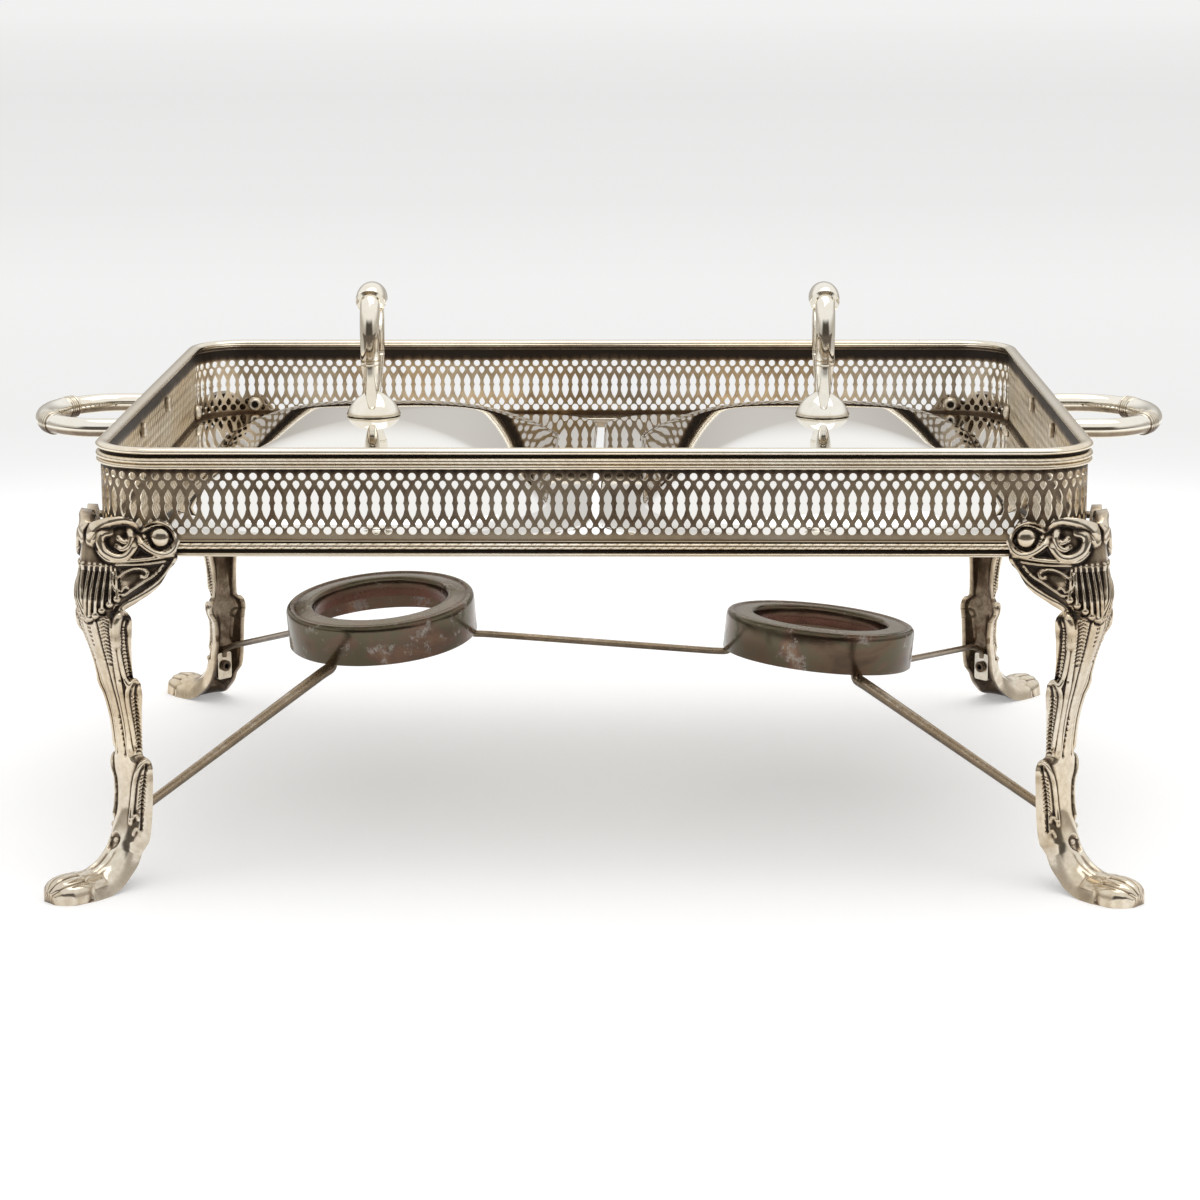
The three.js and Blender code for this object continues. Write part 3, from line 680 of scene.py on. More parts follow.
columnMesh = meshOf("galleryColumn", galleryColumn(gallerySettings, columnPitch), clean=False)
for face in columnMesh.polygons:
    if face.normal.y > 0:
        face.flip()
galleryMesh = rowAlongFrame("gallery", columnMesh, gallerySettings["columns"], gallerySilver)
for finish in (cutSilver, insideSilver):
    galleryMesh.materials.append(finish)
galleryMesh = modifiedMesh("gallerySheet", galleryMesh, "SOLIDIFY", thicken)
galleryMesh.shade_smooth()
galleryMesh.set_sharp_from_angle(angle=math.radians(35))
placePiece("galleryBand", galleryMesh, "gallery_band")
print("gallery made", len(galleryMesh.polygons))


# Engraved beads: a leaf wave on the base and faint rope strokes under the rim cap
beadSettings = {
    "base": {
        "center": (1.75, 142.4), "radii": (1.65, 1.5), "repeats": 283, "steps": 8, "around": 10,
        "depth": 0.16, "stain": 0.45,
    },
    "rim": {
        "center": (1.5, 176.5), "radii": (1.4, 1.3), "repeats": 400, "steps": 4, "around": 12,
        "depth": 0.06, "stain": 0.2,
    },
    "front": 0.2, "stain": 0.06, "hidden": 0.5,
}


def beadCell(settings, wave):
    inset, height = settings["center"]
    pitch = pathAround / settings["repeats"]
    rings = []
    levels = []
    for along in np.arange(settings["steps"] + 1) / settings["steps"]:
        ring = []
        for angle in circleAngles(settings["around"]):
            out, up = math.cos(angle), math.sin(angle)
            seen = out > beadSettings["front"]
            cut = wave(along, up) if seen else 0.0
            across, upright = (radius - cut * settings["depth"] for radius in settings["radii"])
            ring.append(np.array((
                along * pitch, across * out - inset + frameSize["galleryInset"], height + upright * up,
            )))
            levels.append(beadSettings["stain"] + settings["stain"] * cut if seen else beadSettings["hidden"])
        rings.append(ring)
    return skinned(rings, False, levels, capped=False)


def leafWave(along, up):
    crest = 0.55 * math.sin(2 * math.pi * along)
    stem = max(0.0, 1 - abs(up - crest) / 0.32)
    leaf = max(0.0, 1 - abs(up + crest * 0.9) / 0.3) * (0.5 + 0.5 * math.cos(4 * math.pi * along))
    return min(1.0, stem + leaf)


def ropeStroke(along, up):
    return max(0.0, 1 - abs((along + up * 0.35) % 1 - 0.5) / 0.3) * (1 - up * up)


for label, wave in (("base", leafWave), ("rim", ropeStroke)):
    settings = beadSettings[label]
    name = label + "Bead"
    cell = meshOf(name + "Cell", beadCell(settings, wave), clean=False)
    mesh = rowAlongFrame(name, cell, settings["repeats"], railSilver)
    tidyMesh(mesh, clean=True, crease=60)
    placePiece(name, mesh, label + "_rail")
print("beads made")


# Legs: station rows are ridge radius, ridge height, edge radius, edge height, half width,
# wing 1 to shin 0, and solid 0 to 1. Radii run outwards along the diagonal of the corner.
legShape = {
    "stations": [
        (-2, 154, -20.4, 154, 24.7, 1, 0), (0.5, 150, -23.6, 150, 27.9, 1, 0),
        (2, 141, -23, 141, 27.3, 1, 0), (2.5, 137.5, -22.4, 137.5, 26.7, 1, 0),
        (3, 134, -20.9, 134, 25.2, 1, 0), (3.6, 130, -18.8, 130, 23.1, 0.9, 0),
        (4, 126, -15.7, 126, 20, 0.6, 0), (4, 122, -11.3, 122, 15.6, 0.3, 0),
        (3, 118, -7.8, 118, 11.9, 0.1, 0), (1.9, 114.5, -8.4, 114.5, 13.4, 0, 0),
        (1.3, 110, -9.3, 110, 13.9, 0, 0), (0, 105, -9.9, 105, 10, 0, 0), (-3.3, 95, -12, 95, 9, 0, 0),
        (-6.6, 84, -15, 84, 10.6, 0, 0), (-8, 80, -16, 80, 8.6, 0, 0), (-10.6, 68, -18, 68, 8.2, 0, 0),
        (-12, 52, -19, 52, 10.2, 0, 0), (-12.1, 48, -19.2, 48, 11.2, 0, 0),
        (-12.1, 43, -19.8, 43, 8.6, 0, 0), (-11.4, 34, -19.6, 33, 8, 0, 0), (-9.6, 26, -18, 25, 8, 0, 0),
        (-6.6, 19.5, -16.2, 17, 8, 0, 0), (-2.6, 14, -13.2, 10.5, 8.4, 0, 0),
        (2.2, 10.6, -8.4, 5.6, 9, 0, 0), (6.5, 9.4, -2, 1.4, 10, 0, 0.6), (10.5, 9.6, 5, 0, 11, 0, 1),
        (15, 10, 12, 0, 11.6, 0, 1), (19.5, 9.6, 18, 0, 11, 0, 1), (23.5, 8, 22.5, 0, 8.2, 0, 1),
        (26, 5, 25.2, 0, 4, 0, 1),
    ],
    "wall": 2.3, "solidWidth": 0.92, "rows": 430, "halfColumns": 88, "innerShare": 4,
    # Outline across and back from the ridge to the edge, then the inward direction of the wall at each
    "wing": {"across": (0, 0.3, 0.57, 1), "back": (0, 0.16, 0.5, 1),
             "inward": ((0, 1), (0.5, 0.86), (0.7, 0.7), (0.7, 0.7))},
    "shin": {"across": (0, 0.46, 0.86, 1), "back": (0, 0.1, 0.45, 1),
             "inward": ((0, 1), (0.35, 0.94), (0.85, 0.5), (1, 0))},
    # How far the edge may be drawn to the side outline, and the heights where that fades out
    "reach": (0.75, 1.3), "reachFrom": 14, "reachOver": 4,
    # Side outline seen square on: height and distance in from the corner
    "edge": [(154, 33.6), (150, 36.4), (146.7, 37.2), (141, 35.6), (138.7, 36), (134, 32.6), (130, 30),
             (127.9, 28.4), (126, 26), (122, 19.5), (118, 13.8), (116.8, 13.4), (115.6, 15.2),
             (114.5, 16.6), (112, 17), (104, 15.9), (95, 15.4), (88.5, 15.6), (87, 17.2), (85.5, 18.5),
             (82, 18.7), (72, 17.9), (60, 17.6), (55, 17.7), (53.5, 19.2), (52, 21), (49, 21.7),
             (42, 21.2), (30, 20.6), (22, 19.9), (13, 17.4)],
    # Top edge: distance in from the corner and height, for the part above topFrom
    "topFrom": 144, "topOver": 10,
    "top": [(-2, 151), (2, 150.8), (6, 152.6), (10, 154.2), (13.8, 154.7), (18, 153.4), (21.5, 150.2),
            (25, 152.6), (29.9, 154.1), (33.5, 152.8), (37.5, 149)],
}

# Carving strokes seen square on: distance in from the corner and height of each point,
# then the half width and the height of the relief. Grooves have a depth, hatching a pitch and a depth
legCarving = {
    "eyeRim": ([(21.8, 151.2), (25, 153.2), (29.5, 153.6), (34, 151.6), (36.3, 147), (35, 142.2),
                (31.5, 140), (27.5, 140.6), (23.6, 142.9), (20.2, 146.2)], 1.45, 1.35),
    "eyeRing": ([(22.6, 149.3), (25, 150.6), (28, 151.8), (31.5, 151.4), (34.2, 148.6), (34.4, 145),
                 (32.3, 142.2), (29, 141.3), (26, 142.6), (24.2, 144.9), (22.8, 147.6)], 0.5, 0.8),
    "volute": ([(19.8, 146), (18.5, 142.4), (15.5, 139.4), (11.5, 139), (7.4, 141.3), (5.7, 144.8),
                (6.5, 148), (9.3, 149.4)], 1.85, 1.35),
    "voluteInner": ([(12.3, 143.4), (14.2, 142.2), (16.8, 143.7), (17.8, 146.7), (17.2, 149.4)], 1.25, 1.1),
    "voluteHeart": ([(12.9, 146.7), (14.9, 145), (17.2, 146)], 1.0, 0.9),
    "leafOver": ([(1.8, 145.5), (3.1, 149.6), (7.7, 152.5), (14.5, 154.0), (19.3, 153),
                  (21.9, 151)], 2.3, 1.7),
    "leafFold": ([(6.1, 150.2), (4, 147), (2.4, 144)], 1.1, 1.1),
    "upperRidge": ([(4.5, 142), (7, 139.2), (10.6, 137.6), (20.5, 137.8), (28, 138.7),
                    (35.4, 139.9)], 0.95, 1.0),
    "lowerRidge": ([(11.2, 136), (20.4, 136), (27, 136.6), (31.7, 137.4)], 0.6, 0.8),
    "scroll": ([(11.7, 130.4), (15.1, 132.9), (19.1, 134.3), (22.7, 133.8), (23.9, 132.2), (22.9, 130.7),
                (21.3, 131.0)], 0.6, 0.8),
    "scrollLow": ([(11.6, 128.9), (11.9, 126.9), (13.4, 125.5), (14.3, 126.4), (15.4, 127.2),
                   (16.5, 126.4)], 0.5, 0.7),
    "innerBorder": ([(10.4, 133.5), (10.2, 129), (11.6, 125.2), (14.4, 124.1), (17.1, 125.6),
                     (22.2, 128.8), (26.9, 131.8), (30.5, 135.9)], 0.55, 0.75),
    "outerBorder": ([(36.3, 138.9), (33.8, 134.6), (28.6, 128.3), (22.5, 123.8), (17, 120.6),
                     (13.2, 117.6), (11.6, 113.5), (10.8, 108), (10.2, 100)], 1.7, 1.25),
    "band": ([(9.6, 112.9), (9.2, 104), (9.8, 92), (11.3, 78), (12.5, 66), (12.8, 56)], 1.2, 0.7),
    "leafRim1": ([(16.4, 115.4), (14.2, 116.2), (12.5, 114.6), (11.2, 110), (10.9, 100), (12, 90),
                  (14.5, 84)], 0.9, 0.9),
    "leafRim2": ([(18, 86.4), (15.6, 87), (14, 85), (12.9, 80), (13.6, 70), (15, 58)], 0.9, 0.9),
    "leafRim3": ([(20.4, 52.4), (18.4, 52.6), (16.6, 50.5), (14.3, 44), (12.9, 34), (12, 27)], 0.9, 0.9),
    "curlA": ([(12.6, 28), (13.9, 29.9), (15.2, 28.6)], 0.6, 0.7),
    "curlB": ([(13.2, 22.6), (14.4, 24.3), (15.8, 23)], 0.6, 0.7),
}
legGrooves = {
    "shinLine": ([(2.8, 112.9), (4.5, 100), (7, 85), (9.2, 70), (10.6, 55)], 0.6, 0.7),
    "leafSlit1": ([(15.4, 113.6), (14.6, 109.5), (14.2, 103), (14.4, 96), (14.9, 88.5)], 0.6, 0.7),
    "leafSlit2": ([(17, 84.6), (16.2, 80), (16.3, 70), (16.6, 58)], 0.6, 0.7),
    "leafSlit3": ([(19.4, 50.8), (18.6, 46), (17.6, 40), (16.8, 32), (16.4, 24)], 0.6, 0.7),
}
legHatching = [
    ([(13.6, 109.5), (12.9, 103), (13.2, 97), (14.4, 88.5)], 1.5, 1.6, 1.0),
    ([(15.9, 80), (16, 70), (16.3, 57)], 1.4, 1.6, 1.0),
    ([(18, 46), (17.2, 40), (16.4, 32)], 1.5, 1.6, 1.0),
    ([(6, 113), (6.3, 104), (6.8, 96)], 2.6, 1.6, 0.7),
]
legShell = {
    "tops": [(-1.6, 136.2), (1.0, 136.2), (3.2, 136.1), (5.6, 136), (7.8, 135.8), (9.7, 135.4),
             (11.2, 134.5)],
    "middles": [(-2.8, 125), (-0.9, 125), (1.2, 125), (3.7, 125), (6.4, 125), (9.2, 125), (11.9, 125)],
    "tips": [(-2.3, 111.6), (-1.7, 112.1), (0.1, 113.0), (2.7, 114.6), (5.6, 116.9), (8.8, 119.4),
             (11.8, 121.6)],
    "rib": (0.8, 0.5), "ribGrows": (0.9, 0.35), "lobe": (1.9, 1.7), "lobeRise": 0.9,
    "flute": 0.6, "fluteWidth": 1.6, "fluteTop": 135.5,
}
# Heights and radii of the other marks; a dot row is its first and last height and pitch,
# its distance in and the slope of that, then depth and radius
legMarks = {
    "strokes": 1.45, "eye": (29.5, 146.8), "eyeDome": (2.3, 4.1), "eyeChannel": (0.8, 5.0, 0.8),
    "field": {"depth": 0.8, "top": 135.6, "inner": 11, "bottom": 124.6, "middle": 13.2, "slope": 0.62},
    "recess": (1.9, 3.4), "recessHeight": 19.3,
    "dots": [(102, 110, 1.9, 0.6452, 0.137, 0.45, 0.55), (59, 72, 2.4, 10.2, 0.133, 0.4, 0.5)],
    "toeRadius": (3, 10, 15, 20, 24, 26), "toeWidth": (9, 11, 11.6, 11, 8, 4),
}


# Distance from grid points to a line, how far along it the nearest point is, and its length
def lineDistance(x, y, points, reach):
    line = smoothLine(points)
    low, high = line.min(0) - reach, line.max(0) + reach
    near = (x > low[0]) & (x < high[0]) & (y > low[1]) & (y < high[1])
    px, py = x[near], y[near]
    found, far = np.full(px.shape, 1e3), np.zeros(px.shape)
    done = 0.0
    for start, end in zip(line[:-1], line[1:]):
        dx, dy = end - start
        length = math.hypot(dx, dy)
        t = np.clip(((px - start[0]) * dx + (py - start[1]) * dy) / length ** 2, 0, 1)
        distance = np.hypot(px - start[0] - t * dx, py - start[1] - t * dy)
        closer = distance < found
        found[closer] = distance[closer]
        far[closer] = done + t[closer] * length
        done += length
    best, along = np.full(x.shape, 1e3), np.zeros(x.shape)
    best[near], along[near] = found, far
    return best, along, done


def roundBump(distance, width):
    return np.sqrt(np.clip(1 - (distance / width) ** 2, 0, 1))


def pressed(distance, height, width):
    return np.where(distance < width, height * roundBump(distance, width), 0)


# Scallop shell on the corner: thin ribs between wide flutes, ending in rounded lobes
def withShell(relief, a, z):
    shell = legShell
    flutes = np.zeros(a.shape)
    for top, middle, tip in zip(shell["tops"], shell["middles"], shell["tips"]):
        distance, along, total = lineDistance(a, z, [top, middle, tip], 2.2)
        grow = np.clip(along / total, 0, 1)
        height, width = (start + more * grow for start, more in zip(shell["rib"], shell["ribGrows"]))
        lobe = np.hypot(a - tip[0], z - tip[1] - shell["lobeRise"])
        relief = np.maximum(relief, height * roundBump(distance, width))
        relief = np.maximum(relief, shell["lobe"][0] * roundBump(lobe, shell["lobe"][1]))
        below = np.clip((shell["fluteTop"] - z) / 2, 0, 1)
        flutes = np.maximum(flutes, np.where(distance < shell["fluteWidth"], below, 0))
    return relief - shell["flute"] * flutes


# Height of the carving. Seen square on, a is the distance in from the corner and z the height;
# t and r are the distances across the corner and out along its diagonal
def carvedRelief(a, z, t, r):
    # Dome and dark channel of the eye at the end of the wing
    eye = np.hypot(a - legMarks["eye"][0], z - legMarks["eye"][1])
    relief = legMarks["eyeDome"][0] * roundBump(eye, legMarks["eyeDome"][1])
    depth, radius, width = legMarks["eyeChannel"]
    relief -= depth * np.exp(-((eye - radius) / width) ** 2)
    # Sunk field below the double ridge
    field = legMarks["field"]
    inField = (z > field["bottom"] + np.abs(a - field["middle"]) * field["slope"]) & (z < field["top"])
    relief = np.where(inField & (a > field["inner"]), -field["depth"], relief)
    for points, width, height in legCarving.values():
        distance, along, total = lineDistance(a, z, points, width)
        taper = np.clip(np.minimum(along, total - along) / (2.2 * width) + 0.25, 0, 1)
        raised = legMarks["strokes"] * height * taper * roundBump(distance, width)
        relief = np.maximum(relief, np.where(distance < width, raised, -9))
    relief = withShell(relief, a, z)
    for points, width, depth in legGrooves.values():
        relief -= pressed(lineDistance(a, z, points, width)[0], depth, width)
    for points, width, pitch, depth in legHatching:
        distance = lineDistance(a, z, points, width)[0]
        stroke = np.clip(1 - np.abs((z + distance * 0.5) / pitch % 1 - 0.5) / 0.22, 0, 1)
        relief -= pressed(distance, depth, width) * stroke
    # Recess round the ankle rivet
    depth, radius = legMarks["recess"]
    relief -= depth * roundBump(np.hypot(t, z - legMarks["recessHeight"]), radius) * (r < 0)
    # Punched dots down the ridge
    for first, last, pitch, inward, slope, depth, radius in legMarks["dots"]:
        for height in np.arange(first, last, pitch):
            spot = np.hypot(a - (inward - (height - first) * slope), z - height)
            relief -= depth * roundBump(spot, radius)
    # Creased leaf under the ankle, and the petals of the toe
    low = np.clip((17.5 - z) / 2, 0, 1) * np.clip((6 - r) / 4, 0, 1) * (z < 30)
    relief += low * (0.55 * roundBump(t - 2.3, 1.0) - 0.7 * roundBump(t, 0.9))
    petals = 2.5 * math.pi * t / np.maximum(np.interp(r, legMarks["toeRadius"], legMarks["toeWidth"]), 1)
    toe = np.clip((r - 8 - 3 * np.abs(np.sin(petals))) / 1.5, 0, 1) * (z < 30)
    return relief + toe * (0.55 * np.abs(np.cos(petals)) ** 0.6 - 0.75)


def blurred(values, rows, columns):
    for axis, reach in ((0, rows), (1, columns)):
        pad = [(0, 0), (0, 0)]
        pad[axis] = (reach, reach)
        padded = np.pad(values, pad, "edge")
        values = np.lib.stride_tricks.sliding_window_view(padded, 2 * reach + 1, axis).mean(-1)
    return values


# The half of a grid from the ridge to the edge, with its mirror image before it
def bothSides(grid, mirror):
    return np.concatenate([grid[:, :0:-1] * mirror, grid], 1)


# Grids of places as distances across the corner, out along its diagonal and up
def legSurfaces():
    stations = np.array(legShape["stations"], float)
    travel = travelAlong((stations[:, 0:2] + stations[:, 2:4]) / 2)
    rows = np.linspace(0, travel[-1], legShape["rows"])
    ridgeR, ridgeZ, edgeR, edgeZ, half, wing, solid = (
        flowing(travel, stations[:, k], rows)[:, None] for k in range(7))
    edge = np.array(sorted(legShape["edge"]))
    wanted = flowing(edge[:, 0], edge[:, 1], edgeZ[:, 0])[:, None]
    reach = (wanted * math.sqrt(2) + ridgeR) / (half - edgeR + ridgeR)
    amount = np.clip((edgeZ - legShape["reachFrom"]) / legShape["reachOver"], 0, 1)
    reach = 1 + (np.clip(reach, *legShape["reach"]) - 1) * amount
    column = np.linspace(0, 3, legShape["halfColumns"] + 1)

    # The wing's value at each station and column where the leg is wing, the shin's where it is shin
    def between(valueOf):
        shin, wings = valueOf(legShape["shin"]), valueOf(legShape["wing"])
        return shin + (wings - shin) * wing

    def curve(name, mirror):
        return between(lambda side: flowing(range(-1, 4), (mirror * side[name][1], *side[name]), column))

    def inward(k):
        return between(lambda side: np.interp(column, range(4), [pair[k] for pair in side["inward"]]))

    t = curve("across", -1) * half * reach
    back = curve("back", 1) * reach
    # Inner wall of the U section
    depth = np.hypot(edgeR - ridgeR, edgeZ - ridgeZ)
    insideT = np.maximum(t - inward(0) * legShape["wall"], 0)
    insideBack = np.minimum(back + inward(1) * legShape["wall"] / depth, reach)
    insideT = insideT + (half * legShape["solidWidth"] * column / 3 - insideT) * solid
    insideBack = insideBack + (1 - insideBack) * solid
    # The top edge rises in two lobes
    lobes = np.array(legShape["top"], float)
    topFrom, topOver = legShape["topFrom"], legShape["topOver"]

    def placed(across, share):
        r, z = ridgeR + (edgeR - ridgeR) * share, ridgeZ + (edgeZ - ridgeZ) * share
        a = (across - r) / math.sqrt(2)
        lift = (np.interp(a, lobes[:, 0], lobes[:, 1]) - topFrom) / topOver
        return np.stack([across, r, np.where(z > topFrom, topFrom + (z - topFrom) * lift, z)], -1), a

    outer, a = placed(t, back)
    relief = bothSides(carvedRelief(a, outer[:, :, 2], outer[:, :, 0], outer[:, :, 1]), 1)
    wide = bothSides(outer, (-1, 1, 1))
    normal = np.cross(np.gradient(wide, axis=1), np.gradient(wide, axis=0))
    normal /= np.maximum(np.linalg.norm(normal, axis=2), 1e-9)[:, :, None]
    outward = np.sign((normal * (0, 1, 0.35)).sum())
    carved = wide + normal * outward * relief[:, :, None]
    carved[:, :, 2] = np.maximum(carved[:, :, 2], 0.02)
    hollow = blurred(relief, 5, 7) - relief
    sunk = np.clip((0.4 - relief) / 0.9, 0, 1) * np.clip((wide[:, :, 2] - 112) / 4, 0.1, 1)
    patina = np.clip(hollow * 1.9 + sunk * 0.36 + 0.02, 0, 1)
    inner = placed(insideT, insideBack)[0][:, ::legShape["innerShare"]]
    return carved, patina, bothSides(inner, (-1, 1, 1))


# Faces of the outer and inner grids, joined along their edges and across both ends
def legFaces(rows, outerCount, innerCount, share):
    faces = []
    start = rows * outerCount
    for i in range(rows - 1):
        a, b = i * outerCount, (i + 1) * outerCount
        faces += [[a + j, a + j + 1, b + j + 1, b + j] for j in range(outerCount - 1)]
        c, d = start + i * innerCount, start + (i + 1) * innerCount
        faces += [[c + j, d + j, d + j + 1, c + j + 1] for j in range(innerCount - 1)]
        faces.append([a, b, d, c])
        faces.append([a + outerCount - 1, c + innerCount - 1, d + innerCount - 1, b + outerCount - 1])
    for row, flip in ((0, 1), (rows - 1, -1)):
        for j in range(innerCount - 1):
            outer = [row * outerCount + j * share + k for k in range(share + 1)]
            loop = outer[::-1] + [start + row * innerCount + j, start + row * innerCount + j + 1]
            faces.append(loop[::flip])
    return faces


# Places in the frame from distances across a corner, out along its diagonal and up
def fromCorner(corner, places):
    sx, sy = corner
    base = np.array((sx * frameSize["halfLength"], sy * frameSize["halfDepth"], 0.0))
    axes = np.array(((-sy, sx, 0), (sx, sy, 0), (0, 0, math.sqrt(2)))) / math.sqrt(2)
    return base + np.array(places, float) @ axes


corners = {"FrontLeft": (-1, -1), "FrontRight": (1, -1), "RearLeft": (-1, 1), "RearRight": (1, 1)}


def nodeLabel(label):
    return label.replace("Left", "_left").replace("Right", "_right").lower()


outerGrid, patinaGrid, innerGrid = legSurfaces()
legPlaces = np.concatenate([outerGrid.reshape(-1, 3), innerGrid.reshape(-1, 3)])
# The inside of the U section is evenly darker: tarnish together with painted shade inside the channel
legLevels = np.concatenate([patinaGrid.ravel(), np.full(innerGrid[:, :, 0].size, 0.45)])
faces = legFaces(len(outerGrid), outerGrid.shape[1], innerGrid.shape[1], legShape["innerShare"])
for label, corner in corners.items():
    shape = Shape(fromCorner(corner, legPlaces), faces, legLevels)
    makePiece("leg" + label, shape, legSilver, "leg_" + nodeLabel(label), clean=False, crease=75)
print("legs made")


# Rivets and nuts
fixings = {
    "segments": 28, "nutSides": 6, "footSegments": 72,
    "wingRivet": {
        "x": 171.1, "y": 127.1, "height": 149.9,
        "profile": [(0.02, -0.5, 1.0), (1.2, -0.5, 1.0), (1.35, -1.0, 0.9), (1.5, -2.0, 0.3),
                    (1.9, -2.5, 0.0), (2.5, -2.6, 0.0), (3.1, -2.1, 0.05), (3.6, -1.2, 0.1),
                    (3.7, -0.5, 0.4), (3.6, -0.12, 0.8), (1.5, -0.1, 0.8), (1.5, 3.0, 0.2),
                    (0.02, 3.0, 0.2)],
    },
    "ankleRivet": {
        "height": 19.0, "start": -17.7,
        "profile": [(0.02, 2.2, 1.4), (0.9, 2.2, 1.4), (1.0, 0.6, 1.2), (1.5, 0.05, 0.6),
                    (2.3, 0.05, 0.5), (2.75, 0.5, 0.7), (2.8, 1.2, 0.3), (1.5, 1.6, 0.4),
                    (1.5, 8.9, 0.3), (1.45, 9.5, 0.15), (1.2, 10.0, 0.05), (0.7, 10.25, 0.0),
                    (0.02, 10.3, 0.0)],
    },
    "handleNut": {
        "profile": [(0.02, -2.4, 0.1), (2.2, -2.4, 0.1), (2.8, -2.2, 0.0), (3.2, -1.7, 0.1),
                    (3.3, -0.4, 0.4), (3.2, -0.1, 0.7), (1.5, -0.1, 0.8), (1.5, 1.0, 0.2),
                    (0.02, 1.0, 0.2)],
    },
    "lidNut": {
        "profile": [(0.02, -4.4, 0.1), (2.7, -4.4, 0.1), (3.1, -4.1, 0.0), (3.2, -3.7, 0.1),
                    (3.2, -1.9, 0.3), (3.0, -1.55, 0.6), (1.5, -1.5, 0.6), (1.5, -0.1, 0.2),
                    (0.02, -0.1, 0.2)],
    },
    "lidFoot": {
        "profile": [(0.02, 0.0, 0.5), (11.7, 0.0, 0.6), (11.95, 0.1, 0.3), (12.0, 0.35, 0.1),
                    (11.9, 0.62, 0.3), (11.75, 0.8, 0.5), (11.6, 1.3, 0.1), (11.3, 2.0, 0.0),
                    (10.8, 3.0, 0.0), (10.1, 4.15, 0.0), (9.25, 5.3, 0.0), (8.3, 6.35, 0.0),
                    (7.3, 7.25, 0.0), (6.3, 8.0, 0.0), (5.2, 8.75, 0.0), (4.2, 9.4, 0.05),
                    (3.3, 9.95, 0.1), (2.4, 10.3, 0.2), (0.02, 10.3, 0.3)],
    },
}

for label, (sx, sy) in corners.items():
    rivet = fixings["wingRivet"]
    for kind, place, direction in (
        ("Long", (sx * rivet["x"], sy * wallY, rivet["height"]), (0, sy, 0)),
        ("Short", (sx * wallX, sy * rivet["y"], rivet["height"]), (sx, 0, 0)),
    ):
        shape = turnedShape(rivet["profile"], fixings["segments"]).moved(outwardMatrix(place, direction))
        node = f"wing_rivet_{nodeLabel(label)}_{kind.lower()}_side"
        makePiece("wingRivet" + label + kind, shape, rivetSilver, node)
    rivet = fixings["ankleRivet"]
    place = fromCorner((sx, sy), (0, rivet["start"], rivet["height"]))
    direction = (sx / math.sqrt(2), sy / math.sqrt(2), 0)
    shape = turnedShape(rivet["profile"], fixings["segments"]).moved(outwardMatrix(place, direction))
    makePiece("ankleRivet" + label, shape, rivetSilver, "ankle_rivet_" + nodeLabel(label))
print("rivets made")


# Burner rings
ringSettings = {
    "radius": 42.3, "skirt": 18.0, "sheet": 1.2, "segments": 120,
    "profile": [
        (42.0, -18.0, 0.3), (42.3, -17.6, 0.1), (42.3, -3.4, 0.0), (42.25, -2.3, 0.0), (41.9, -1.2, 0.0),
        (41.2, -0.45, 0.0), (40.4, -0.15, 0.0), (39.7, -0.3, 0.1), (39.2, -0.75, 0.7),
        (38.7, -0.85, 0.8), (38.2, -0.6, 0.3), (37.4, -0.5, 0.0), (35.5, -0.35, 0.0), (33.6, -0.15, 0.0),
        (32.4, -0.02, 0.0), (31.5, -0.15, 0.0), (30.7, -0.6, 0.0), (30.2, -1.3, 0.1), (30.0, -2.2, 0.3),
        (30.0, -5.0, 0.8), (30.15, -5.5, 1.0), (30.5, -5.7, 1.0), (30.6, -6.2, 1.0), (30.6, -9.0, 1.0),
        (31.4, -9.0, 0.8), (31.4, -3.0, 0.8), (32.0, -1.6, 0.6), (33.0, -1.3, 0.6), (40.0, -1.5, 0.6),
        (40.8, -2.2, 0.6), (41.1, -3.2, 0.5), (41.1, -18.0, 0.5),
    ],
    "Left": {"center": (-98.1, 0.0, 86.6), "slope": (0.071, 0.086)},
    "Right": {"center": (100.0, 0.0, 78.0), "slope": (-0.104, -0.065)},
}


def ringMatrix(ring):
    normal = (-ring["slope"][0], -ring["slope"][1], 1)
    return outwardMatrix(ring["center"], Vector(normal).normalized())


def ringPoint(ring, degrees, radius, drop):
    angle = math.radians(degrees)
    return np.array(ringMatrix(ring) @ Vector((radius * math.cos(angle), radius * math.sin(angle), -drop)))


for side in ("Left", "Right"):
    shape = turnedShape(ringSettings["profile"], ringSettings["segments"], looped=True)
    shape.moved(ringMatrix(ringSettings[side]))
    makePiece("burnerRing" + side, shape, burntPlate, "burner_ring_" + side.lower())
print("rings made")


# Stretcher rods with a hook inside the ring skirt and a flat tab in the ankle. A rod is its ring,
# the direction on it, the radius, and how much thicker the rod is at the ring
rodSettings = {
    "tabRadius": -15.1, "tabHeight": 19.0, "tab": (1.4, 8.4, 13.4), "tabCorner": 1.4, "tabShade": -0.5,
    "bore": 1.9, "bend": 4.0, "sides": 20, "shade": 0.1, "gap": 0.3, "hookUp": 5, "hookLean": 0.6,
    "clear": 3.4,
    "FrontLeft": ("Left", -122, 1.9, 0.7), "FrontRight": ("Right", -66, 1.9, 0.7),
    "RearLeft": ("Left", 150, 1.5, 0.0), "RearRight": ("Right", 30, 1.5, 0.0), "centerRadius": 1.5,
    # From the ring to the tab: distance out along the diagonal from the tab, and height
    "leg": [(-7.9, 30.5), (-0.4, 27.4), (0, 23.5)],
}


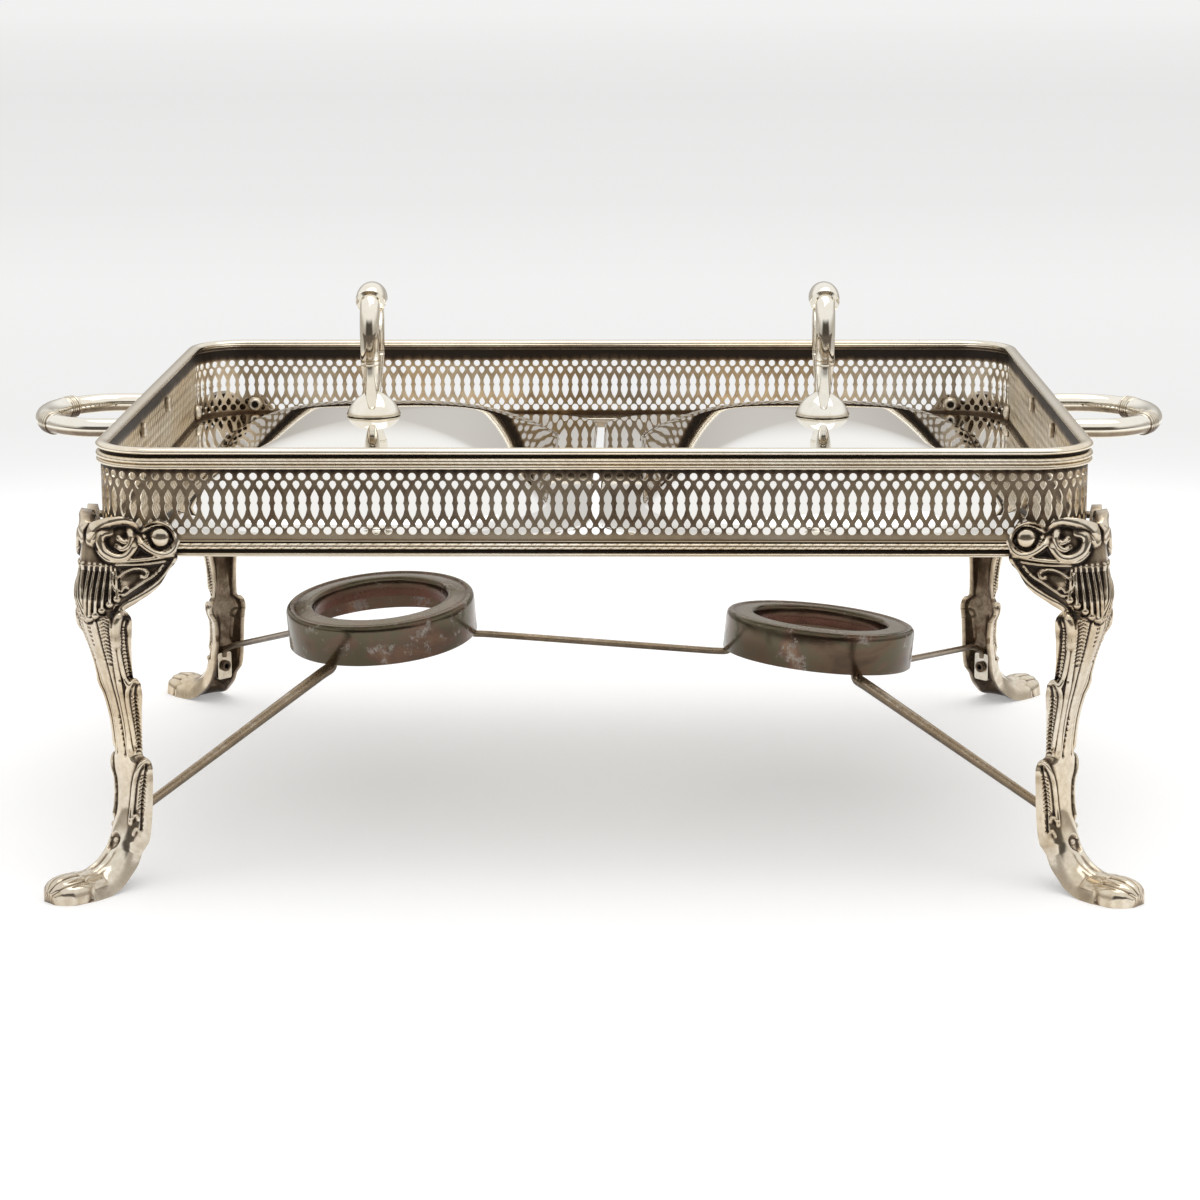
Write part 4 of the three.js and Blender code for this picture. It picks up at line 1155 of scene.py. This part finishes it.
def ringHook(side, degrees, radius):
    ring, gap, lean = ringSettings[side], rodSettings["gap"], rodSettings["hookLean"]
    inside = ringSettings["radius"] - ringSettings["sheet"] - radius - gap
    below = ringSettings["skirt"] + radius + gap
    return [ringPoint(ring, degrees, inside, ringSettings["skirt"] - rodSettings["hookUp"]),
            ringPoint(ring, degrees, inside - lean, below),
            ringPoint(ring, degrees, ringSettings["radius"] + rodSettings["clear"], below + lean)]


def tabShape(corner):
    thick, width, height = rodSettings["tab"]
    outline = [(x * width / 2, y * height / 2) for x, y in ((-1, -1), (1, -1), (1, 1), (-1, 1))]
    outline = softened(outline, rodSettings["tabCorner"], 4, closed=True)
    hole = arcPoints((0, 0), (rodSettings["bore"], rodSettings["bore"]), 0, 345, 24)
    points, faces = filledSheet([tuple(p) for p in outline], [hole])
    count = len(points)
    placed = fromCorner(corner, [
        (x, rodSettings["tabRadius"] + side * thick / 2, rodSettings["tabHeight"] + y)
        for side in (-1, 1) for x, y in points])
    edges = {pair for face in faces for pair in zip(face, face[1:] + face[:1])}
    walls = [[i, j, j + count, i + count] for i, j in sorted(edges) if (j, i) not in edges]
    far = [[i + count for i in reversed(face)] for face in faces]
    return Shape(placed, faces + far + walls, rodSettings["tabShade"])


def rodShape(points, radius, swell=0.0):
    path = np.array(softened(points, rodSettings["bend"], 8))
    away = np.linalg.norm(path - path[-1], axis=1)
    radii = radius + swell * np.clip(away / away[0], 0, 1) ** 2
    return barShape(path, radii, rodSettings["sides"], rodSettings["shade"])


for label, corner in corners.items():
    side, degrees, radius, swell = rodSettings[label]
    leg = fromCorner(corner, [(0, rodSettings["tabRadius"] + out, z) for out, z in rodSettings["leg"]])
    shape = rodShape([*ringHook(side, degrees, radius), *leg], radius, swell).joined(tabShape(corner))
    makePiece("stretcher" + label, shape, rodBronze, "stretcher_" + nodeLabel(label))

radius = rodSettings["centerRadius"]
middle = rodShape(ringHook("Left", 0, radius) + ringHook("Right", 180, radius)[::-1], radius)
makePiece("stretcherCenter", middle, rodBronze, "stretcher_center")
print("rods made")


# Bound grips: the bar swells over its middle, with turns of cord at both ends of the binding,
# and the arms thin out at the gallery. Shares of the way from the middle to an end
gripSettings = {
    "plain": 0.262, "turnsFrom": 0.27, "turn": 0.1, "cord": 0.37, "shadow": 0.375, "neck": 0.378,
    "bare": 0.385, "root": 0.86,
}


def boundRadii(fractions, root, arm, grip):
    plain, cordEnd, bareFrom = (gripSettings[key] for key in ("plain", "cord", "bare"))
    away = np.abs(fractions - 0.5) * 2
    turns = np.abs(np.sin((away - gripSettings["turnsFrom"]) / gripSettings["turn"] * 4 * math.pi))
    cord = grip * (0.93 + 0.1 * np.sqrt(turns))
    bare = arm + (root - arm) * np.clip((away - gripSettings["root"]) / (1 - gripSettings["root"]), 0, 1)
    neck = np.interp(away, (cordEnd, gripSettings["neck"], bareFrom), (grip * 0.93, arm * 1.03, arm))
    swell = grip * (0.97 + 0.03 * np.cos(away / plain * math.pi / 2))
    radii = np.select([away < plain, away < cordEnd, away < bareFrom], [swell, cord, neck], bare)
    wound = (away > plain) & (away < gripSettings["shadow"])
    return radii, np.where(wound, 0.1 + 0.85 * (1 - turns) ** 2, 0)


sideHandle = {
    "root": [(198.1, 168.7), (199.4, 168.7), (203.5, 169.3), (208.0, 169.6)], "bowStart": 216.0,
    "reach": 243.83, "bowPoints": 90, "halfSpan": 35.0, "height": 169.6, "radii": (3.4, 4.15, 4.97),
    "rings": 300, "sides": 28,
}
for side, sx in (("Left", -1), ("Right", 1)):
    span, bowStart = sideHandle["halfSpan"], sideHandle["bowStart"]
    path = [(sx * x, span, z) for x, z in sideHandle["root"]]
    for angle in np.linspace(math.pi / 2, -math.pi / 2, sideHandle["bowPoints"]):
        out = bowStart + (sideHandle["reach"] - bowStart) * math.cos(angle)
        path.append((sx * out, span * math.sin(angle), sideHandle["height"]))
    path += [(sx * x, -span, z) for x, z in sideHandle["root"][::-1]]
    path = evenPath(path, sideHandle["rings"])
    radii, groove = boundRadii(np.linspace(0, 1, len(path)), *sideHandle["radii"])
    shape = barShape(path, radii, sideHandle["sides"], groove)
    makePiece("sideHandle" + side, shape, loopSilver, "side_handle_" + side.lower())
    for end, sy in (("Front", -1), ("Rear", 1)):
        place = outwardMatrix((sx * wallX, sy * span, sideHandle["root"][0][1]), (sx, 0, 0))
        shape = turnedShape(fixings["handleNut"]["profile"], fixings["nutSides"]).moved(place)
        node = f"side_handle_nut_{side.lower()}_{end.lower()}"
        makePiece("handleNut" + side + end, shape, rivetSilver, node, crease=30)
print("side handles made")


# Lids: a flat flange that lies on the ledge, and a dome that rises from a crease inside it
lidSettings = {
    "centerX": 98.0, "rim": (96.3, 149.0, 32.0), "dome": (77.0, 129.0, 48.0), "sheet": 1.2, "flange": 145.9,
    "top": 169.8, "power": 2.5, "rise": 0.9, "domeRings": 44, "cornerPoints": 19, "sidePieces": (12, 20),
    # Outward and down from the foot of the dome, then inward and down from the flange's edge
    "crease": [(0.35, 0.36), (0.75, 0.65), (1.2, 0.82), (1.8, 0.9)],
    "edge": [(10.0, 0.0), (1.2, 0.0), (0.5, 0.02), (0.15, 0.2), (0.0, 0.55), (0.15, 1.0)],
    "handleShift": 1.3, "handleGap": 0.1,
}


def lidLoop(halfX, halfY, radius, scale, height):
    middles = np.array(((1, 1), (-1, 1), (-1, -1), (1, -1))) * (halfX - radius, halfY - radius)
    ring = []
    for index, middle in enumerate(middles):
        angles = np.linspace(index, index + 1, lidSettings["cornerPoints"]) * math.pi / 2
        turns = [radius * np.array((math.cos(a), math.sin(a))) for a in angles]
        start, end = middle + turns[-1], middles[(index + 1) % 4] + turns[-1]
        pieces = lidSettings["sidePieces"][index % 2]
        ring += [middle + turn for turn in turns]
        ring += [start + (end - start) * i / pieces for i in range(1, pieces)]
    return [np.array((x * scale, y * scale, height)) for x, y in ring]


def domeLoop(inset, scale, drop):
    low = lidSettings["flange"] + lidSettings["rise"]
    height = low + (lidSettings["top"] - low) * (1 - scale ** lidSettings["power"]) - drop
    halfX, halfY, corner = (size - inset for size in lidSettings["dome"])
    return lidLoop(halfX, halfY, corner, scale, height)


def flangeLoop(inset, height):
    halfX, halfY, corner = (size - inset for size in lidSettings["rim"])
    return lidLoop(halfX, halfY, corner, 1, height)


def lidRings():
    flange, sheet = lidSettings["flange"], lidSettings["sheet"]
    scales = np.linspace(0.03, 1, lidSettings["domeRings"])
    outer = [domeLoop(0, scale, 0) for scale in scales]
    outer += [domeLoop(-out, 1, drop) for out, drop in lidSettings["crease"]]
    outer += [flangeLoop(inset, flange - drop) for inset, drop in lidSettings["edge"] + [(0.5, sheet)]]
    inner = [domeLoop(0, 1, sheet + lidSettings["rise"])]
    inner += [domeLoop(1, scale, sheet) for scale in scales[::-2]]
    return outer + inner


# Lid handles: a narrow ring with a thick crown, whose arms taper onto one bell foot.
# Rows are the distance from the middle, the height above the lid and the bar radius
lidRing = {
    "rows": [(8.0, 2.6, 1.4), (9.4, 5.6, 1.9), (10.3, 8.6, 2.4), (11.3, 12.0, 2.9), (12.4, 16.5, 3.35),
             (13.3, 21.5, 3.75), (14.0, 27.0, 4.15), (14.2, 33.0, 4.2), (13.9, 39.0, 4.25),
             (12.4, 44.6, 4.3), (9.6, 48.9, 4.35)],
    "barrel": [(7.2, 50.7, 4.4), (6.95, 50.85, 6.1), (6.6, 51.05, 6.45), (5.0, 51.6, 6.5),
               (2.6, 52.1, 6.52), (0.0, 52.2, 6.53)],
    "collar": 25.4, "rings": 320, "sides": 36,
}


def lidHandleShape():
    half = lidRing["rows"] + lidRing["barrel"][:1]
    arm = evenPath(smoothLine([(-y, z, r) for y, z, r in half], 12), lidRing["rings"] // 2)
    arm = np.concatenate([arm, [(-y, z, r) for y, z, r in lidRing["barrel"][1:]]])
    across, height, radii = np.concatenate([arm, arm[-2::-1] * (-1, 1, 1)]).T
    # A fine raised collar on each arm, between two dark lines
    away = np.abs(height - lidRing["collar"])
    radii = radii + 0.09 * np.clip(1 - (away / 0.9) ** 2, 0, 1)
    levels = 0.5 * np.clip(1 - np.abs(away - 1.1) / 0.4, 0, 1)
    return barShape(np.stack([0 * across, across, height], 1), radii, lidRing["sides"], levels)


for side, sx in (("Left", -1), ("Right", 1)):
    body = "lid_" + side.lower()
    center = np.array((sx * lidSettings["centerX"], 0, 0))
    shape = skinned([[p + center for p in ring] for ring in lidRings()], False)
    makePiece("lid" + side, shape, mirrorSilver, body, body)
    foot = turnedShape(fixings["lidFoot"]["profile"], fixings["footSegments"])
    nut = turnedShape(fixings["lidNut"]["profile"], fixings["nutSides"])
    raised = lidSettings["top"] + lidSettings["handleGap"]
    place = Matrix.Translation(Vector(center + (sx * lidSettings["handleShift"], 0, raised)))
    for kind, shape, finish, slot, crease in (
        ("Handle", lidHandleShape(), handleSilver, "bright_silver", 50),
        ("Foot", foot, handleSilver, "bright_silver", 50),
        ("Nut", nut, rivetSilver, "rivet_metal", 30),
    ):
        node = f"lid_{kind.lower()}_{side.lower()}"
        makePiece("lid" + kind + side, shape.moved(place), finish, node, body, crease=crease)
print("lids made")


# Floor, room and lamps
room = {
    "floorReach": 16.0, "nearFront": 0.36, "farFront": 0.75, "darkFloor": (0.12, 0.098, 0.078),
    "nearPaper": 0.62, "farPaper": 1.6, "paleFar": (0.5, 0.47, 0.43), "paperDepth": 14.0,
    # Tone of the paper that the camera sees behind the stand, by depth
    "paper": [(0.0, 1.0, 1.0), (0.03, 1.0, 1.0), (0.07, 0.87, 0.865), (0.13, 0.89, 0.885),
              (0.2, 0.83, 0.825), (0.36, 0.8, 0.795), (0.7, 0.88, 0.875)],
    "floorDiffuse": 0.8, "floorGlow": 0.3, "shadow": (0.68, 0.68, 0.66), "shadowReach": (0.2, 0.04),
    "darkRoom": (0.07, 0.06, 0.05), "horizon": (0.5, 0.47, 0.43), "zenith": (1.0, 0.995, 0.98), "sky": 0.95,
    "farWall": (0.88, 0.88, 0.875), "nearWall": (0.96, 0.955, 0.95),
    "lampPlace": (0.2, 0.1, 1.9), "lampTarget": (0, 0, 0.1), "lampSize": 1.6, "lampPower": 9.0,
}
white = (1.0, 1.0, 1.0)


def mixed(bench, amount, first, second):
    return bench.add("ShaderNodeMixShader", {}, {0: amount, 1: first, 2: second})


def glowing(bench, color, strength):
    return bench.add("ShaderNodeEmission", {}, {"Color": color, "Strength": strength})


def lengthOf(bench, vector):
    return bench.add("ShaderNodeVectorMath", {"operation": "LENGTH"}, {0: vector}, out="Value")


def makeFloor():
    material, bench, where = startFinish("paleFloor")
    spot = bench.parts(where)
    distance = lengthOf(bench, where)
    rays = bench.add("ShaderNodeLightPath", out="Is Camera Ray")
    glossy = rays.also("Is Glossy Ray")
    # Reflections see paper that is pale to the sides and behind, and dark in front
    front = bench.eased(spot.also("Y"), -room["nearFront"], -room["farFront"])
    away = bench.eased(distance, room["nearPaper"], room["farPaper"])
    reflected = bench.blend(front, bench.blend(away, white, room["paleFar"]), room["darkFloor"])
    stops = [(depth, (tone, tone, cool)) for depth, tone, cool in room["paper"]]
    paper = bench.ramp(spot.also("Y") / room["paperDepth"], stops)
    glow = glowing(bench, bench.blend(glossy, paper, reflected), 1.0)
    # Near the stand the floor takes the lamp's light, and its glow is dimmed under the stand by a painted
    # shadow
    across = bench.add("ShaderNodeCombineXYZ", {}, {"X": spot * 0.45, "Y": spot.also("Y")})
    beneath = bench.eased(lengthOf(bench, across), *room["shadowReach"])
    shadow = bench.blend(beneath, white, room["shadow"])
    shade = bench.add("ShaderNodeBsdfDiffuse", {}, {"Color": (room["floorDiffuse"],) * 3 + (1,)})
    lit = bench.add("ShaderNodeAddShader", {}, {0: shade, 1: glowing(bench, shadow, room["floorGlow"])})
    cameraLook = mixed(bench, bench.eased(distance, 0.55, 0.95), lit, glow)
    bounce = mixed(bench, glossy, shade, mixed(bench, (front + away).limited(), lit, glow))
    visible = (rays + rays.also("Is Transmission Ray")).limited()
    endFinish(bench, mixed(bench, visible, bounce, cameraLook))
    mesh = bpy.data.meshes.new("floor")
    reach = room["floorReach"]
    mesh.from_pydata([(-reach, -reach, 0), (reach, -reach, 0), (reach, reach, 0), (-reach, reach, 0)], [],
                     [(0, 1, 2, 3)])
    mesh.materials.append(material)
    floor = bpy.data.objects.new("floor", mesh)
    scene.collection.objects.link(floor)


def makeRoom():
    world = bpy.data.worlds.new("softRoom")
    scene.world = world
    world.use_nodes = True
    world.node_tree.nodes.clear()
    bench = Bench(world.node_tree)
    aim = bench.parts(bench.add("ShaderNodeTexCoord", out="Generated"))
    up = aim.also("Z")
    ahead = bench.eased(aim.also("Y"), -0.62, -0.86) * bench.eased(up, 0.5, 0.3)
    sky = bench.blend(bench.eased(up, 0.05, 0.4), room["horizon"], room["zenith"])
    sky = bench.blend(ahead, sky, room["darkRoom"])
    rays = bench.add("ShaderNodeLightPath", out="Is Camera Ray")
    plain = bench.blend(rays, room["nearWall"], room["farWall"])
    color = bench.blend(rays.also("Is Glossy Ray"), plain, sky)
    background = bench.add("ShaderNodeBackground", {}, {"Color": color, "Strength": room["sky"]})
    bench.add("ShaderNodeOutputWorld", {}, {"Surface": background})


def makeLamp():
    data = bpy.data.lights.new("softTop", "AREA")
    data.shape = "SQUARE"
    data.size, data.energy = room["lampSize"], room["lampPower"]
    lamp = bpy.data.objects.new("softTop", data)
    place = Vector(room["lampPlace"])
    aim = (place - Vector(room["lampTarget"])).to_track_quat("Z", "Y")
    lamp.matrix_world = Matrix.Translation(place) @ aim.to_matrix().to_4x4()
    scene.collection.objects.link(lamp)


makeFloor()
makeRoom()
makeLamp()
print("room made")
